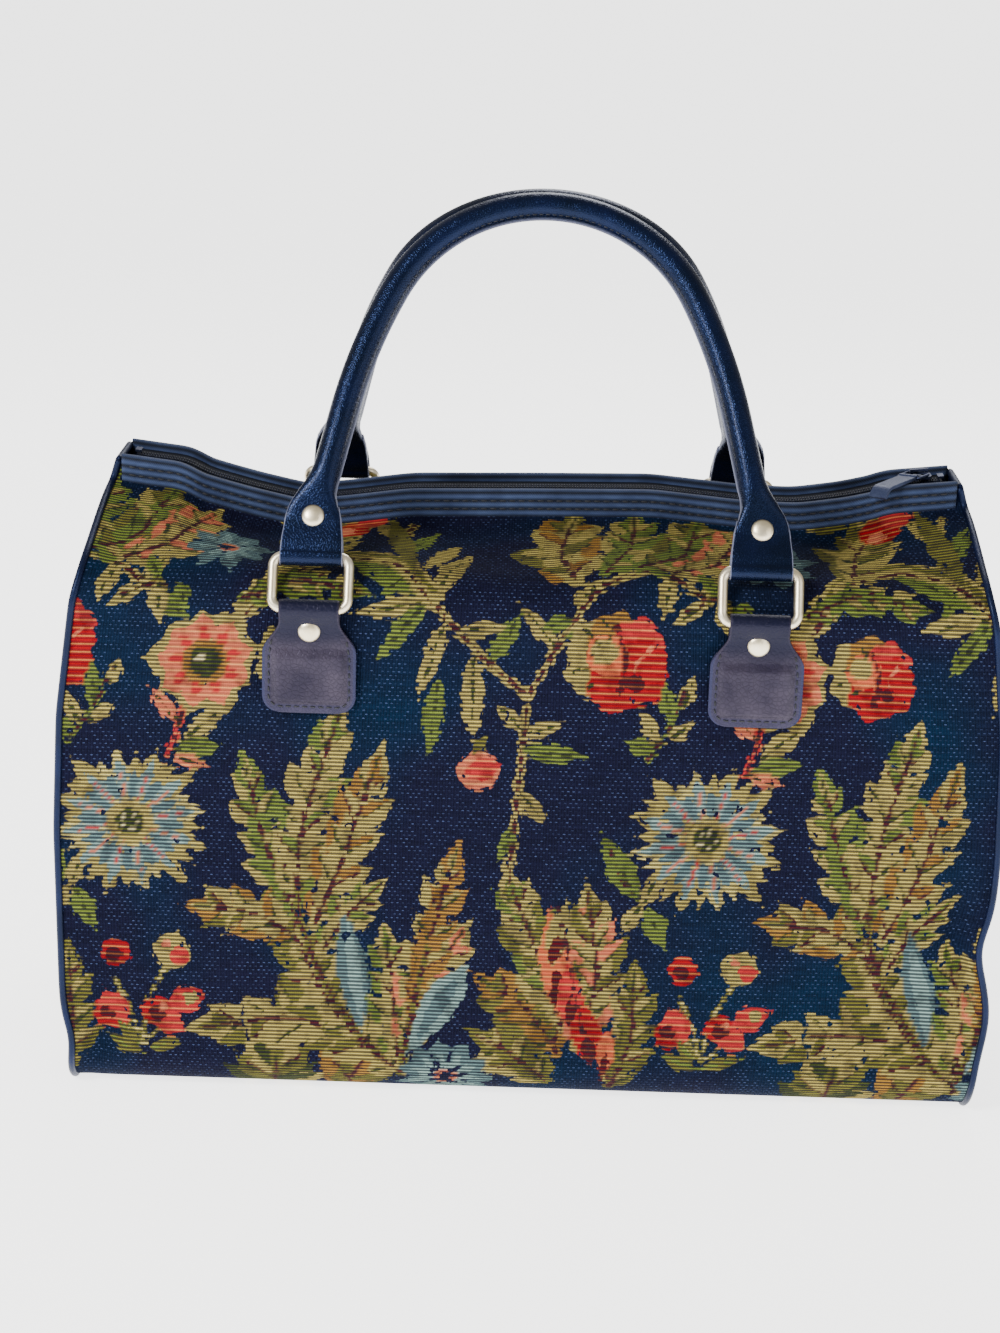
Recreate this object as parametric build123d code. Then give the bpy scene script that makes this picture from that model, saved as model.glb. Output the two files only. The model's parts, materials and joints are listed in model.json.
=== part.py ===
"""Zip-top carpet bag: a woven cloth body on a stiff base, two rolled leather handles on metal rings.

Millimetres, +Z up. The origin is the middle of the base, on the surface that the bag stands on.
The front looks towards -Y, and left and right are as seen from the front.
"""

import math
import os

from build123d import *

os.makedirs("parts", exist_ok=True)

# Body
body_width = 460.0
body_depth = 200.0
base_corner_r = 24.0
shoulder_z = 272.0
shoulder_in = 6.0
shoulder_r = 22.0
mouth_width = 34.0
lip_z = 284.0
lip_r = 6.0
rim_z = 297.0
rim_rise = 13.0
end_lean = 18.0
cloth = 3.0
lining_t = 0.6
board_t = 2.5
board_gap = 1.0
board_corner_r = 8.0
piping_d = 5.0
piping_lift = 0.3

# Zip along the mouth
binding_h = 12.0
binding_t = 1.2
tape_t = 0.8
tape_drop = 2.4
coil_w = 2.5
coil_gap = 1.4
slider_length = 12.0
slider_width = 9.0
slider_corner_r = 2.0
plate_t = 1.4
slider_gap = 0.4
post_t = 0.7
slider_inset = 20.0
bail_length = 9.0
bail_w = 2.4
bail_window = 6.0
bail_rise = 3.4
link_wire = 1.4
link_half = 6.2
link_reach = 9.0
link_gap = 0.35
link_corner_r = 1.0
fold_gap = 0.1
pull_turn = 48.0
pull_clear = 0.4
pull_bend_r = 6.0
pull_tip = 6.0
pull_droop = 45.0
pull_width = 10.0
pull_t = 1.6
stop_length = 3.0
stop_h = 1.2
stop_gap = 3.0

# Tabs, rings and handles
foot_step = 5.0
leather_t = 1.6
tab_drop = 66.0
tab_width = 45.0
tab_neck = 28.8
tab_rise = 52.0
tab_body_h = 32.0
tab_corner_r = 8.0
tab_shoulder_r = 6.0
tab_neck_r = 3.0
tab_t = 4.4
pad_border = 4.5
pad_h = 1.5
pad_corner_r = 5.0
pad_gap = 4.1
tab_rivet_gap = 1.1
ring_wire = 4.8
ring_span = 25.2
ring_side_gap = 1.3
ring_corner_r = 5.0
ring_lean = 25.0
loop_gap = 0.5
handle_rise = 178.0
handle_d = 13.0
core_d = 8.0
handle_gap = 0.7
crown_r = 82.0
crown_turn = 63.0
side_r = 260.0
side_turn = 14.0
strap_t = 4.4
strap_margin = 0.6
strap_flare = 27.0
flare_length = 16.5
flare_edge = 0.1
handle_rivet_gap = 9.6
rivet_cap_d = 10.8
rivet_cap_h = 2.2
rivet_back_d = 8.8
rivet_back_h = 1.2
rivet_bore_d = 2.0
rivet_shank_d = 4.0
rivet_gap = 0.1

sides = {"front": -1, "back": 1}
hands = {"left": -1, "right": 1}

# Sizes that follow from those above
half_w = body_width / 2
half_d = body_depth / 2
mouth_half = mouth_width / 2
shoulder_y = half_d - shoulder_in
wall_lean = math.degrees(math.atan2(shoulder_in, shoulder_z))
ridge_x = half_w - end_lean
slider_x = ridge_x - slider_inset
stop_x = slider_x + slider_length / 2 + stop_gap + stop_length / 2
tab_z = shoulder_z - tab_drop
bar_out = ring_wire / 2 + loop_gap + leather_t
tab_rivet_up = tab_rise - bar_out - tab_rivet_gap - rivet_cap_d / 2
pad_rise = tab_rivet_up - rivet_cap_d / 2 - pad_gap - pad_border
ring_width = tab_neck + 2 * ring_side_gap + ring_wire
handle_rivet_up = bar_out + handle_rivet_gap + rivet_cap_d / 2
strap_rise = handle_rivet_up + rivet_cap_d / 2 + strap_margin
roll_rise = strap_rise + flare_length
leg_lean = math.radians(90 - crown_turn - side_turn)
rim_radius = (ridge_x**2 + rim_rise**2) / (2 * rim_rise)
rim_centre = rim_z + rim_radius
end_top = rim_z + rim_rise
end_angle = math.degrees(math.atan2(end_lean, end_top))
over = 20.0
tape_top = -tape_drop
tape_low = tape_top - tape_t


def handle_points():
    """Half of the arch: the crown's end, the side's end and where the roll starts."""
    crown = math.radians(crown_turn)
    leg = math.radians(crown_turn + side_turn)
    crown_c = (0, handle_rise - crown_r)
    crown_end = (crown_r * math.sin(crown), crown_c[1] + crown_r * math.cos(crown))
    shift = side_r - crown_r
    side_c = (-shift * math.sin(crown), crown_c[1] - shift * math.cos(crown))
    side_end = (side_c[0] + side_r * math.sin(leg), side_c[1] + side_r * math.cos(leg))
    drop = side_end[1] - roll_rise
    start = (side_end[0] + drop * math.tan(leg_lean), roll_rise)
    return crown_end, side_end, start


arch = handle_points()
fitting_x = arch[2][0] + foot_step


def prism(face_points, radii, plane, amount):
    """A closed outline with a fillet radius at each corner, extruded both ways."""
    outline = FilletPolyline(*face_points, radius=radii, close=True)
    return extrude(plane * make_face(outline), amount, both=True)


def wall_y(z, inset=0.0):
    """How far the wall stands from the middle at a height."""
    return half_d - shoulder_in * z / shoulder_z - inset / math.cos(math.radians(wall_lean))


def body_outline(inset, top):
    """The cross-section of the bag, seen along X, inset by a thickness of cloth."""
    lip_y = mouth_half - inset
    corner = [
        (lip_y, top),
        (lip_y, lip_z - inset),
        (wall_y(shoulder_z - inset, inset), shoulder_z - inset),
        (wall_y(inset, inset), inset),
    ]
    radii = [0, lip_r + inset, shoulder_r - inset, base_corner_r - inset]
    points = corner + [(-a, b) for a, b in reversed(corner)]
    return points, radii + radii[::-1]


def body_prism(inset):
    points, radii = body_outline(inset, end_top + over)
    return prism(points, radii, Plane.YZ, half_w + over)


def wedge(inset):
    """Everything between the two ends, which lean in towards the top."""
    low = half_w - inset
    high = low - end_lean * (end_top + over) / end_top
    points = [(-low, 0), (low, 0), (high, end_top + over), (-high, end_top + over)]
    return extrude(Plane.XZ * make_face(Polyline(*points, close=True)), half_d + over, both=True)


def rim_band(low, high, y0, y1):
    """A strip that follows the sagging rim, from low to high above it and from y0 to y1."""
    length = y1 - y0
    place = Location((0, (y0 + y1) / 2, rim_centre), (90, 0, 0))
    outer = Cylinder(rim_radius - low, length)
    inner = Cylinder(rim_radius - high, length + over)
    window = Pos(0, (y0 + y1) / 2, rim_z) * Box(body_width + over, length + over, 2 * (rim_rise + over))
    return (place * (outer - inner)) & window


def below_rim(offset):
    """Everything below the line that runs offset above the rim."""
    reach = body_depth + over
    deep = Pos(0, 0, end_top / 2) * Box(body_width + over, reach, end_top + 2 * over)
    return deep - Location((0, 0, rim_centre), (90, 0, 0)) * Cylinder(rim_radius - offset, reach + over)


def leaning_plane(side, x, y, z, lean):
    """A plane that stands at x, y out and z up and leans inwards, with its normal facing out."""
    tilt = math.radians(lean)
    sign = sides[side]
    normal = (0, sign * math.cos(tilt), math.sin(tilt))
    return Plane(origin=(x, sign * y, z), x_dir=(-sign, 0, 0), z_dir=normal)


def wall_plane(side, x, z):
    """A plane on the front or back wall, with its normal pointing out of the bag."""
    return leaning_plane(side, x, wall_y(z), z, wall_lean)


# Ring and handle lines, in the plane across the bag
wall_tilt = math.radians(wall_lean)
bar_y = wall_y(tab_z) - tab_rise * math.sin(wall_tilt) + bar_out * math.cos(wall_tilt)
bar_z = tab_z + tab_rise * math.cos(wall_tilt) + bar_out * math.sin(wall_tilt)
top_bar_y = bar_y - ring_span * math.sin(math.radians(ring_lean))
top_bar_z = bar_z + ring_span * math.cos(math.radians(ring_lean))
apex_y = (handle_d + handle_gap) / 2
handle_lean = math.degrees(math.asin((top_bar_y - apex_y) / handle_rise))


def rivet(shank_length):
    """A domed cap in front of a plate, its shank through the plate and a turned back."""
    dome_r = (rivet_cap_d**2 / 4 + rivet_cap_h**2) / (2 * rivet_cap_h)
    dome = Pos(0, 0, rivet_cap_h - dome_r) * Sphere(dome_r)
    cap = dome & (Pos(0, 0, rivet_cap_h) * Box(2 * dome_r, 2 * dome_r, 2 * rivet_cap_h))
    shank = Pos(0, 0, -shank_length / 2) * Cylinder(rivet_shank_d / 2, shank_length)
    back = Cylinder(rivet_back_d / 2, rivet_back_h) - Cylinder(rivet_bore_d / 2, rivet_back_h)
    return cap + shank + Pos(0, 0, -shank_length - rivet_back_h / 2) * back


def rivet_hole(depth):
    return Cylinder(rivet_shank_d / 2 + rivet_gap, 2 * depth)


def leather_loop(width):
    """The fold of leather round a ring's bar, along X, and the room for the bar."""
    across = Rot(0, 90, 0)
    fold = across * Cylinder(bar_out, width)
    room = across * Cylinder(ring_wire / 2 + loop_gap, width + over)
    return fold, room


def make_tab():
    """A leather patch, sewn flat to the wall, whose neck folds over the ring's lower bar."""
    half, neck = tab_width / 2, tab_neck / 2
    shoulder = tab_rise - bar_out
    points = [
        (-half, 0),
        (half, 0),
        (half, tab_body_h),
        (neck, shoulder),
        (neck, tab_rise),
        (-neck, tab_rise),
        (-neck, shoulder),
        (-half, tab_body_h),
    ]
    right = [tab_corner_r, tab_shoulder_r, tab_neck_r, 0]
    radii = [tab_corner_r] + right + right[:0:-1]
    plate = extrude(make_face(FilletPolyline(*points, radius=radii, close=True)), tab_t)
    pad_w = tab_width - 2 * pad_border
    pad_at = pad_border + pad_rise / 2
    pad = extrude(Pos(0, pad_at, tab_t) * RectangleRounded(pad_w, pad_rise, pad_corner_r), pad_h)
    fold, room = leather_loop(tab_neck)
    at_bar = Pos(0, tab_rise, bar_out)
    hole = Pos(0, tab_rivet_up, 0) * rivet_hole(2 * tab_t)
    return plate + pad + at_bar * fold - at_bar * room - hole


def ring_in_plane():
    """A rounded wire ring, from its lower bar on the origin to its upper bar."""
    path = Pos(0, ring_span / 2) * RectangleRounded(ring_width, ring_span, ring_corner_r)
    line = path.wire()
    start = Plane(origin=line @ 0, z_dir=line % 0)
    return sweep(start * Circle(ring_wire / 2), path=line)


def arch_path():
    crown_end, side_end, start = arch
    left = [(-p[0], p[1]) for p in (start, side_end, crown_end)]
    leg = Line(left[0], left[1])
    rise = JernArc(left[1], (math.sin(leg_lean), math.cos(leg_lean)), side_r, -side_turn)
    crown = JernArc(left[2], rise % 1, crown_r, -2 * crown_turn)
    fall = JernArc(crown @ 1, crown % 1, side_r, -side_turn)
    foot = Line(fall @ 1, (start[0], start[1]))
    return Wire([leg.edge(), rise.edge(), crown.edge(), fall.edge(), foot.edge()])


def handle_end(hand):
    """The flat strap round the ring's upper bar, flaring in from the rolled part."""
    start = arch[2]
    neck = tab_neck / 2
    flare = strap_flare / 2
    outline = Polyline((-neck, 0), (neck, 0), (flare, strap_rise), (-flare, strap_rise), close=True)
    strap = Pos(0, 0, -strap_t / 2) * extrude(make_face(outline), strap_t)
    low = Plane(origin=(0, strap_rise, 0), x_dir=(1, 0, 0), z_dir=(0, 1, 0))
    high_at = (hand * (start[0] - fitting_x), roll_rise, 0)
    along = (-hand * math.sin(leg_lean), math.cos(leg_lean), 0)
    high = Plane(origin=high_at, x_dir=(along[1], -along[0], 0), z_dir=along)
    flat = low * RectangleRounded(strap_flare, strap_t, strap_t / 2 - flare_edge)
    round_end = high * RectangleRounded(handle_d, handle_d, handle_d / 2 - flare_edge)
    flare_in = loft([flat, round_end])
    fold, room = leather_loop(tab_neck)
    hole = Pos(0, handle_rivet_up, 0) * rivet_hole(strap_t)
    return Pos(hand * fitting_x, 0, 0) * (strap + flare_in + fold - room - hole)


def make_handle():
    """The rolled leather with its hollow, and its two flattened ends."""
    path = arch_path()
    start = Plane(origin=path @ 0, z_dir=path % 0)
    roll = sweep(start * (Circle(handle_d / 2) - Circle(core_d / 2)), path=path)
    core = sweep(start * Circle(core_d / 2), path=path)
    return roll + handle_end(-1) + handle_end(1), core


def piping(hand):
    """A round cord along the seam between the end panel and the cloth that wraps round."""
    tilt = math.radians(end_angle)
    up = 1 / math.cos(tilt)
    low = piping_d / 2 + piping_lift
    stop = (end_top - binding_h - binding_t) * up
    half = [(mouth_half, stop), (mouth_half, lip_z * up), (shoulder_y, shoulder_z * up), (half_d, low)]
    points = half + [(-a, b) for a, b in reversed(half)]
    radii = [lip_r, shoulder_r, base_corner_r]
    path = FilletPolyline(*points, radius=radii + radii[::-1])
    plane = Plane(origin=(half_w, 0, 0), x_dir=(0, 1, 0), z_dir=(math.cos(tilt), 0, math.sin(tilt)))
    line = plane * path
    start = Plane(origin=line @ 0, z_dir=line % 0)
    cord = sweep(start * Circle(piping_d / 2), path=line)
    return cord if hand > 0 else mirror(cord, about=Plane.YZ)


def make_slider():
    """The slider's two plates, the post between them and the bail, at the lowest point of the rim."""
    top_low = rim_z + slider_gap
    under_high = rim_z + tape_low - slider_gap
    plate = Box(slider_length, slider_width, plate_t)
    top = Pos(0, 0, top_low + plate_t / 2) * fillet(plate.edges().filter_by(Axis.Z), slider_corner_r)
    under = Pos(0, 0, under_high - plate_t / 2) * fillet(plate.edges().filter_by(Axis.Z), slider_corner_r)
    post_h = top_low - under_high
    post = Pos(slider_length / 4, 0, (top_low + under_high) / 2) * Box(slider_length / 3, post_t, post_h)
    bail_base = top_low + plate_t
    bail = Pos(0, 0, bail_base + bail_rise / 2) * Box(bail_length, bail_w, bail_rise)
    window_h = link_wire + 2 * link_gap
    window = Pos(0, 0, bail_base + window_h / 2) * Box(bail_window, bail_w, window_h)
    return top + under + post + (bail - window)


def at_slider(shape):
    """Carries a shape from the rim's lowest point round to the slider's place."""
    swing = math.degrees(math.asin(slider_x / rim_radius))
    return shape.rotate(Axis((0, 0, rim_centre), (0, 1, 0)), -swing)


link_z = rim_z + slider_gap + plate_t + link_gap + link_wire / 2
pull_frame = Plane(origin=(0, 0, link_z), z_dir=(0, 0, 1),
                   x_dir=(-math.cos(math.radians(pull_turn)), -math.sin(math.radians(pull_turn)), 0))


def make_link():
    """A wire loop from under the bail to the fold of the pull."""
    loop = Pos(link_reach / 2, 0) * RectangleRounded(link_reach, 2 * link_half, link_corner_r)
    line = loop.wire()
    start = Plane(origin=line @ 0, z_dir=line % 0)
    return pull_frame.location * sweep(start * Circle(link_wire / 2), path=line)


def make_pull():
    """A leather strip folded round the link's bar, lying over the binding and drooping past it."""
    fold_r = pull_t / 2 + link_wire / 2 + fold_gap
    droop = math.radians(pull_droop)
    turn = math.radians(pull_turn)
    past = mouth_half + binding_t + pull_clear + pull_width / 2 * math.cos(turn)
    end = (past / math.sin(turn) + pull_bend_r * math.tan(droop / 2), 0)
    tip = (end[0] + pull_tip * math.cos(droop), -pull_tip * math.sin(droop))
    spine = FilletPolyline((link_reach, 0), end, tip, radius=pull_bend_r)
    side = Plane(origin=(0, 0, 0), x_dir=(1, 0, 0), z_dir=(0, -1, 0))
    start = Plane(origin=(link_reach, 0, 0), x_dir=(0, 0, 1), z_dir=(1, 0, 0))
    strip = sweep(start * Rectangle(pull_t, pull_width), path=side * spine)
    across = Pos(link_reach, 0, 0) * Rot(90, 0, 0)
    fold = across * Cylinder(fold_r, pull_width)
    room = across * Cylinder(link_wire / 2 + fold_gap, pull_width + over)
    return pull_frame.location * (strip + fold - room)


def save(name, shape):
    export_step(shape, f"parts/{name}.step")


outer = body_prism(0)
inner = body_prism(cloth)
lined = body_prism(cloth + lining_t)
pipes = {hand: piping(sign) for hand, sign in hands.items()}
tab_places = {}
for side in sides:
    for hand, sign in hands.items():
        tab_places[side, hand] = wall_plane(side, sign * fitting_x, tab_z)

# The cloth that wraps round the front, base and back
wrap = (outer - inner) & wedge(0) & below_rim(0)
for pipe in pipes.values():
    wrap = wrap - pipe
wall_depth = 2 * cloth
for place in tab_places.values():
    wrap = wrap - place.location * Pos(0, tab_rivet_up, 0) * rivet_hole(wall_depth)
save("body_panel", wrap)

ends = (inner & wedge(0) & below_rim(tape_low)) - wedge(cloth)
for pipe in pipes.values():
    ends = ends - pipe

lining = ((inner - lined) & wedge(cloth)) + ((lined & wedge(cloth)) - wedge(cloth + lining_t))
lining = lining & below_rim(-binding_h)
for place in tab_places.values():
    lining = lining - place.location * Pos(0, tab_rivet_up, 0) * rivet_hole(wall_depth)
save("lining", lining)

board_x = body_width - 2 * (cloth + lining_t + board_gap + piping_d)
board_y = body_depth - 2 * (base_corner_r + board_gap)
board_z = cloth + lining_t + board_t / 2
board = extrude(RectangleRounded(board_x, board_y, board_corner_r), board_t / 2, both=True)
save("base_board", Pos(0, 0, board_z) * board)

# Binding, tape and coil along each side of the mouth
leg_out = mouth_half + binding_t
leg_in = mouth_half - cloth - binding_t
coil_in = coil_gap / 2
coil_out = coil_in + coil_w


def along_rim(side, low, high, near, far, inset):
    """A strip of the rim on one side of the mouth, from near to far from the middle."""
    band = rim_band(low, high, near, far) if side == "back" else rim_band(low, high, -far, -near)
    return band & wedge(inset)


for side in sides:
    binding = along_rim(side, -binding_h, binding_t, leg_in, leg_out, 0) - wrap
    ends = ends - binding
    save(f"binding_{side}", binding)
    save(f"zip_tape_{side}", along_rim(side, tape_low, tape_top, coil_in, leg_in, 0))
    save(f"zip_coil_{side}", along_rim(side, tape_top, 0, coil_in, coil_out, cloth))

for hand, sign in hands.items():
    half_space = Pos(sign * half_w, 0, end_top / 2) * Box(half_w, 2 * half_d, 2 * end_top)
    save(f"end_panel_{hand}", ends & half_space)
    save(f"piping_{hand}", pipes[hand])

stops = []
for sign in hands.values():
    window = Pos(sign * stop_x, 0, rim_z) * Box(stop_length, body_depth, end_top)
    stops.append(rim_band(0, stop_h, -coil_out, coil_out) & window)
save("zip_stops", Compound(children=stops))
save("zip_slider", at_slider(make_slider()))
save("zip_pull_link", at_slider(make_link()))
save("zip_pull", at_slider(make_pull()))

# Tabs, rings and handles on both sides
tab = make_tab()
ring = ring_in_plane()
handle, core = make_handle()
tab_shank = tab_t + cloth + lining_t
tab_rivets = []
for (side, hand), place in tab_places.items():
    save(f"tab_{side}_{hand}", place.location * tab)
    tab_rivets.append(place.location * Pos(0, tab_rivet_up, tab_t) * rivet(tab_shank))
    ring_place = leaning_plane(side, hands[hand] * fitting_x, bar_y, bar_z, ring_lean)
    save(f"ring_{side}_{hand}", ring_place.location * ring)
save("tab_rivets", Compound(children=tab_rivets))

for side in sides:
    place = leaning_plane(side, 0, top_bar_y, top_bar_z, handle_lean)
    save(f"handle_{side}", place.location * handle)
    save(f"handle_core_{side}", place.location * core)
    rivets = []
    for sign in hands.values():
        at_rivet = Pos(sign * fitting_x, handle_rivet_up, strap_t / 2)
        rivets.append(place.location * at_rivet * rivet(strap_t))
    save(f"handle_rivets_{side}", Compound(children=rivets))

print("ring bars", round(bar_y, 2), round(bar_z, 2), round(top_bar_y, 2), round(top_bar_z, 2))
print("handle lean", round(handle_lean, 2), "rim radius", round(rim_radius, 1))
print("fittings", round(fitting_x, 3))
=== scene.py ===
import json
import math

import bpy
import numpy as np
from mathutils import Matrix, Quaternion, Vector


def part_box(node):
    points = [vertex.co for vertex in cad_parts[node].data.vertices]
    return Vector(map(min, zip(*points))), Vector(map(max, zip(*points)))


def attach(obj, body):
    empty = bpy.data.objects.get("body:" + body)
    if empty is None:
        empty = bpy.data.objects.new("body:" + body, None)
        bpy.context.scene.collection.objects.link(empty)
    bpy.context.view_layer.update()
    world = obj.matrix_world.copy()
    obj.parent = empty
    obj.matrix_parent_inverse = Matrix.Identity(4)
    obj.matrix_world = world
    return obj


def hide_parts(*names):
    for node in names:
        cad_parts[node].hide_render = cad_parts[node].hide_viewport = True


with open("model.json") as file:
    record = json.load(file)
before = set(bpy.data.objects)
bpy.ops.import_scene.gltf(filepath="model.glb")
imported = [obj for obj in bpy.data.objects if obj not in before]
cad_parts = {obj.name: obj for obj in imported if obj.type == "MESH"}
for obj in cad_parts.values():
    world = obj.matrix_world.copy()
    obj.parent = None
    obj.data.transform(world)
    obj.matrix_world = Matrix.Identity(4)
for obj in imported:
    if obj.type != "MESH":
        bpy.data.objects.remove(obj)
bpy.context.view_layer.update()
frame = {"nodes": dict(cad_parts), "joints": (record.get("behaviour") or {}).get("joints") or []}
nodes = frame["nodes"]
joints = {joint["name"]: joint for joint in frame["joints"]}
mm = 0.001

# the bag's form in millimetres, with its outer size taken from the frame
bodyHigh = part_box("body_panel")[1]
bag = {
    "halfWidth": bodyHigh.x / mm,
    "halfDepth": bodyHigh.y / mm,
    "baseCorner": 24,
    "shoulderHeight": 272,
    "shoulderIn": 6,
    "shoulderCorner": 22,
    "mouthHalf": 17,
    "lipHeight": 284,
    "lipCorner": 6,
    "rimHeight": 297,
    "clothPitch": 1.75,
    "liningInset": 3.4,
    # half of the length at each height, and the height of the rim at each place along it
    "endShape": [(0, 226), (40, 229), (140, 230), (200, 227.5), (258, 220), (290, 211), (310, 205)],
    "rimShape": [(-230, 310), (-205, 309), (-190, 307.5), (-162, 299), (-142, 294), (-118, 289),
                 (-94, 292), (-65, 296.4), (0, 298.5), (57, 300), (103, 296), (130, 295.5),
                 (154, 299.3), (181, 306), (200, 310), (230, 311)],
    # where along the bag the rim settles on the slider's own arc
    "settle": (166, 184),
}

# how the cloth bends away from its plain form, in millimetres
drape = {
    # the heights over which the walls' waves start and stop
    "wallStart": (8, 60), "wallStop": (225, 268), "belly": 2.2, "bellyLength": 150, "tuck": 1.0,
    # each wave's size, its lengths along the bag and up it, and its shift from front to back
    "wallWaves": ((0.9, 41, 63, 1), (0.7, 23, -37, 2)),
    "topWaves": ((1.2, 17, 21, 0), (1.3, 33, math.inf, 1)),
    "topStart": (262, 276), "topStop": 24, "bound": 13, "liftBelow": 14, "endCalm": 16,
    # at each tab: size, half width, height and half height
    "tabX": (-107, 107), "tabDents": ((1.6, 30, 190, 16), (-1.2, 18, 232, 26)),
    # on the front: size, place along, half width, lean, where the lean starts, height and half height
    "frontDents": ((-4.0, -232, 9, -0.6, 0, 26, 20), (-5.0, 222, 6, 0.35, 90, 92, 26),
                   (2.0, 200, 13, 0.3, 80, 92, 34)),
    # at the ends: size, height, half height, end, and where along the bag it starts
    "endDents": ((-4.5, 92, 17, 1, 150), (2.0, 55, 16, 1, 150), (3.0, 28, 15, -1, 170)), "endReach": 230,
    # puffs along the back of the mouth: size, place and half width
    "backPuffs": ((7, -132, 16), (5, -80, 13), (7, 100, 20), (4, 138, 12)), "puffBelow": 42, "puffHalf": 18,
}


def pointing(angle):
    return np.array([math.cos(angle), math.sin(angle)])


def roundedLine(points, radii, step=0.6):
    # a run of straight lines with an arc at each inner corner
    corners = [np.array(p, float) for p in points]
    line = [corners[0]]
    for before, here, after, radius in zip(corners, corners[1:], corners[2:], radii):
        a = (before - here) / np.linalg.norm(before - here)
        b = (after - here) / np.linalg.norm(after - here)
        half = math.acos(np.clip(a @ b, -1, 1)) / 2
        centre = here + (a + b) / np.linalg.norm(a + b) * radius / math.sin(half)
        start = here + a * radius / math.tan(half) - centre
        end = here + b * radius / math.tan(half) - centre
        first = math.atan2(start[1], start[0])
        turn = (math.atan2(end[1], end[0]) - first + math.pi) % (2 * math.pi) - math.pi
        count = max(3, int(abs(turn) * radius / step))
        for k in range(count + 1):
            line.append(centre + radius * pointing(first + turn * k / count))
    line.append(corners[-1])
    return np.array(line)


def lengths(line):
    return np.r_[0, np.cumsum(np.linalg.norm(np.diff(line, axis=0), axis=1))]


def evenly(line, pitch):
    along = lengths(line)
    count = max(2, int(round(along[-1] / pitch)) + 1)
    places = np.linspace(0, along[-1], count)
    return np.stack([np.interp(places, along, line[:, k]) for k in range(line.shape[1])], 1)


def smoothStep(value, low, high):
    t = np.clip((value - low) / (high - low), 0, 1)
    return t * t * (3 - 2 * t)


def bell(value, centre, width):
    return np.exp(-(((value - centre) / width) ** 2))


def curveThrough(shape):
    # a smooth curve through a few given places
    places, values = np.array(shape, float).T
    fine = np.arange(places[0], places[-1] + 1)
    rough = np.interp(fine, places, values)
    size = 23
    window = np.hanning(size)
    padded = np.pad(rough, size // 2, mode="reflect", reflect_type="odd")
    return fine, np.convolve(padded, window / window.sum(), mode="valid")


section = roundedLine(
    [(0, 0), (bag["halfDepth"], 0), (bag["halfDepth"] - bag["shoulderIn"], bag["shoulderHeight"]),
     (bag["mouthHalf"], bag["lipHeight"]), (bag["mouthHalf"], bag["rimHeight"])],
    [bag["baseCorner"], bag["shoulderCorner"], bag["lipCorner"]],
)
sectionAt = lengths(section)
sectionLength = sectionAt[-1]
wallStart = bag["halfDepth"] - bag["baseCorner"]
heightStart = sectionAt[np.argmax(section[:, 1] > bag["baseCorner"])] - bag["baseCorner"]
sliderArcZ = joints["zip_slide"]["pos_m"][2] / mm
sliderArc = sliderArcZ - bag["rimHeight"]
endFine, endValue = curveThrough(bag["endShape"])
rimFine, rimValue = curveThrough(bag["rimShape"])


def rimZ(x):
    # the sagging mouth, which settles on the slider's own arc at both ends
    arc = sliderArcZ - np.sqrt(sliderArc**2 - np.square(x))
    free = 1 - smoothStep(abs(x), *bag["settle"])
    return arc + free * (np.interp(x, rimFine, rimValue) - arc)


def endX(z):
    return np.interp(z, endFine, endValue)


def sectionPoint(along, inset=0.0):
    # a place on the cross-section, moved in along its normal
    y = np.interp(along, sectionAt, section[:, 0])
    z = np.interp(along, sectionAt, section[:, 1])
    step = 3.0
    y0, y1 = (np.interp(along + d, sectionAt, section[:, 0]) for d in (-step, step))
    z0, z1 = (np.interp(along + d, sectionAt, section[:, 1]) for d in (-step, step))
    size = np.hypot(y1 - y0, z1 - z0) + 1e-9
    normalY, normalZ = (z1 - z0) / size, -(y1 - y0) / size
    return y - normalY * inset, z - normalZ * inset, normalY, normalZ


def waves(table, u, up, side):
    return sum(size * np.sin(u / long + up / tall + shift * side) for size, long, tall, shift in table)


def slack(u, along, side):
    # how far the cloth stands out from, or falls in behind, the plain form
    z = np.interp(along, sectionAt, section[:, 1])
    onWall = smoothStep(z, *drape["wallStart"]) * (1 - smoothStep(z, *drape["wallStop"]))
    out = onWall * (drape["belly"] * np.cos(u / drape["bellyLength"])
                    + waves(drape["wallWaves"], u, z, side) - drape["tuck"])
    topStop = smoothStep(along, sectionLength - drape["topStop"], sectionLength - drape["bound"])
    onTop = smoothStep(z, *drape["topStart"]) * (1 - topStop)
    out += onTop * waves(drape["topWaves"], u, along, side)
    for tabX in drape["tabX"]:
        out += sum(size * bell(u, tabX, wide) * bell(z, height, tall)
                   for size, wide, height, tall in drape["tabDents"])
    if side < 0:
        for size, at, wide, lean, start, height, tall in drape["frontDents"]:
            out += size * bell(u + lean * (z - start), at, wide) * bell(z, height, tall)
    return out


def bodySurface(u, along, side, inset=0.0):
    # the outside of the bag: u runs along it, and along runs from the middle of the base to the rim
    y, z, normalY, normalZ = sectionPoint(along, inset)
    liftStart = heightStart + bag["shoulderHeight"] - drape["liftBelow"]
    lift = smoothStep(along, liftStart, sectionLength - drape["bound"])
    x = u * (endX(z) - inset) / bag["halfWidth"]
    out = slack(u, along, side) * smoothStep(bag["halfWidth"] - abs(u), 0, drape["endCalm"])
    for size, height, tall, hand, start in drape["endDents"]:
        x = x + size * bell(z, height, tall) * smoothStep(hand * u, start, drape["endReach"])
    y = y + normalY * out
    z = z + normalZ * out + lift * (rimZ(x) - bag["rimHeight"])
    if side > 0:
        puff = sum(size * bell(x, at, wide) for size, at, wide in drape["backPuffs"])
        z = z + puff * bell(along, sectionLength - drape["puffBelow"], drape["puffHalf"])
    return np.stack([x, side * y, z], -1)


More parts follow.
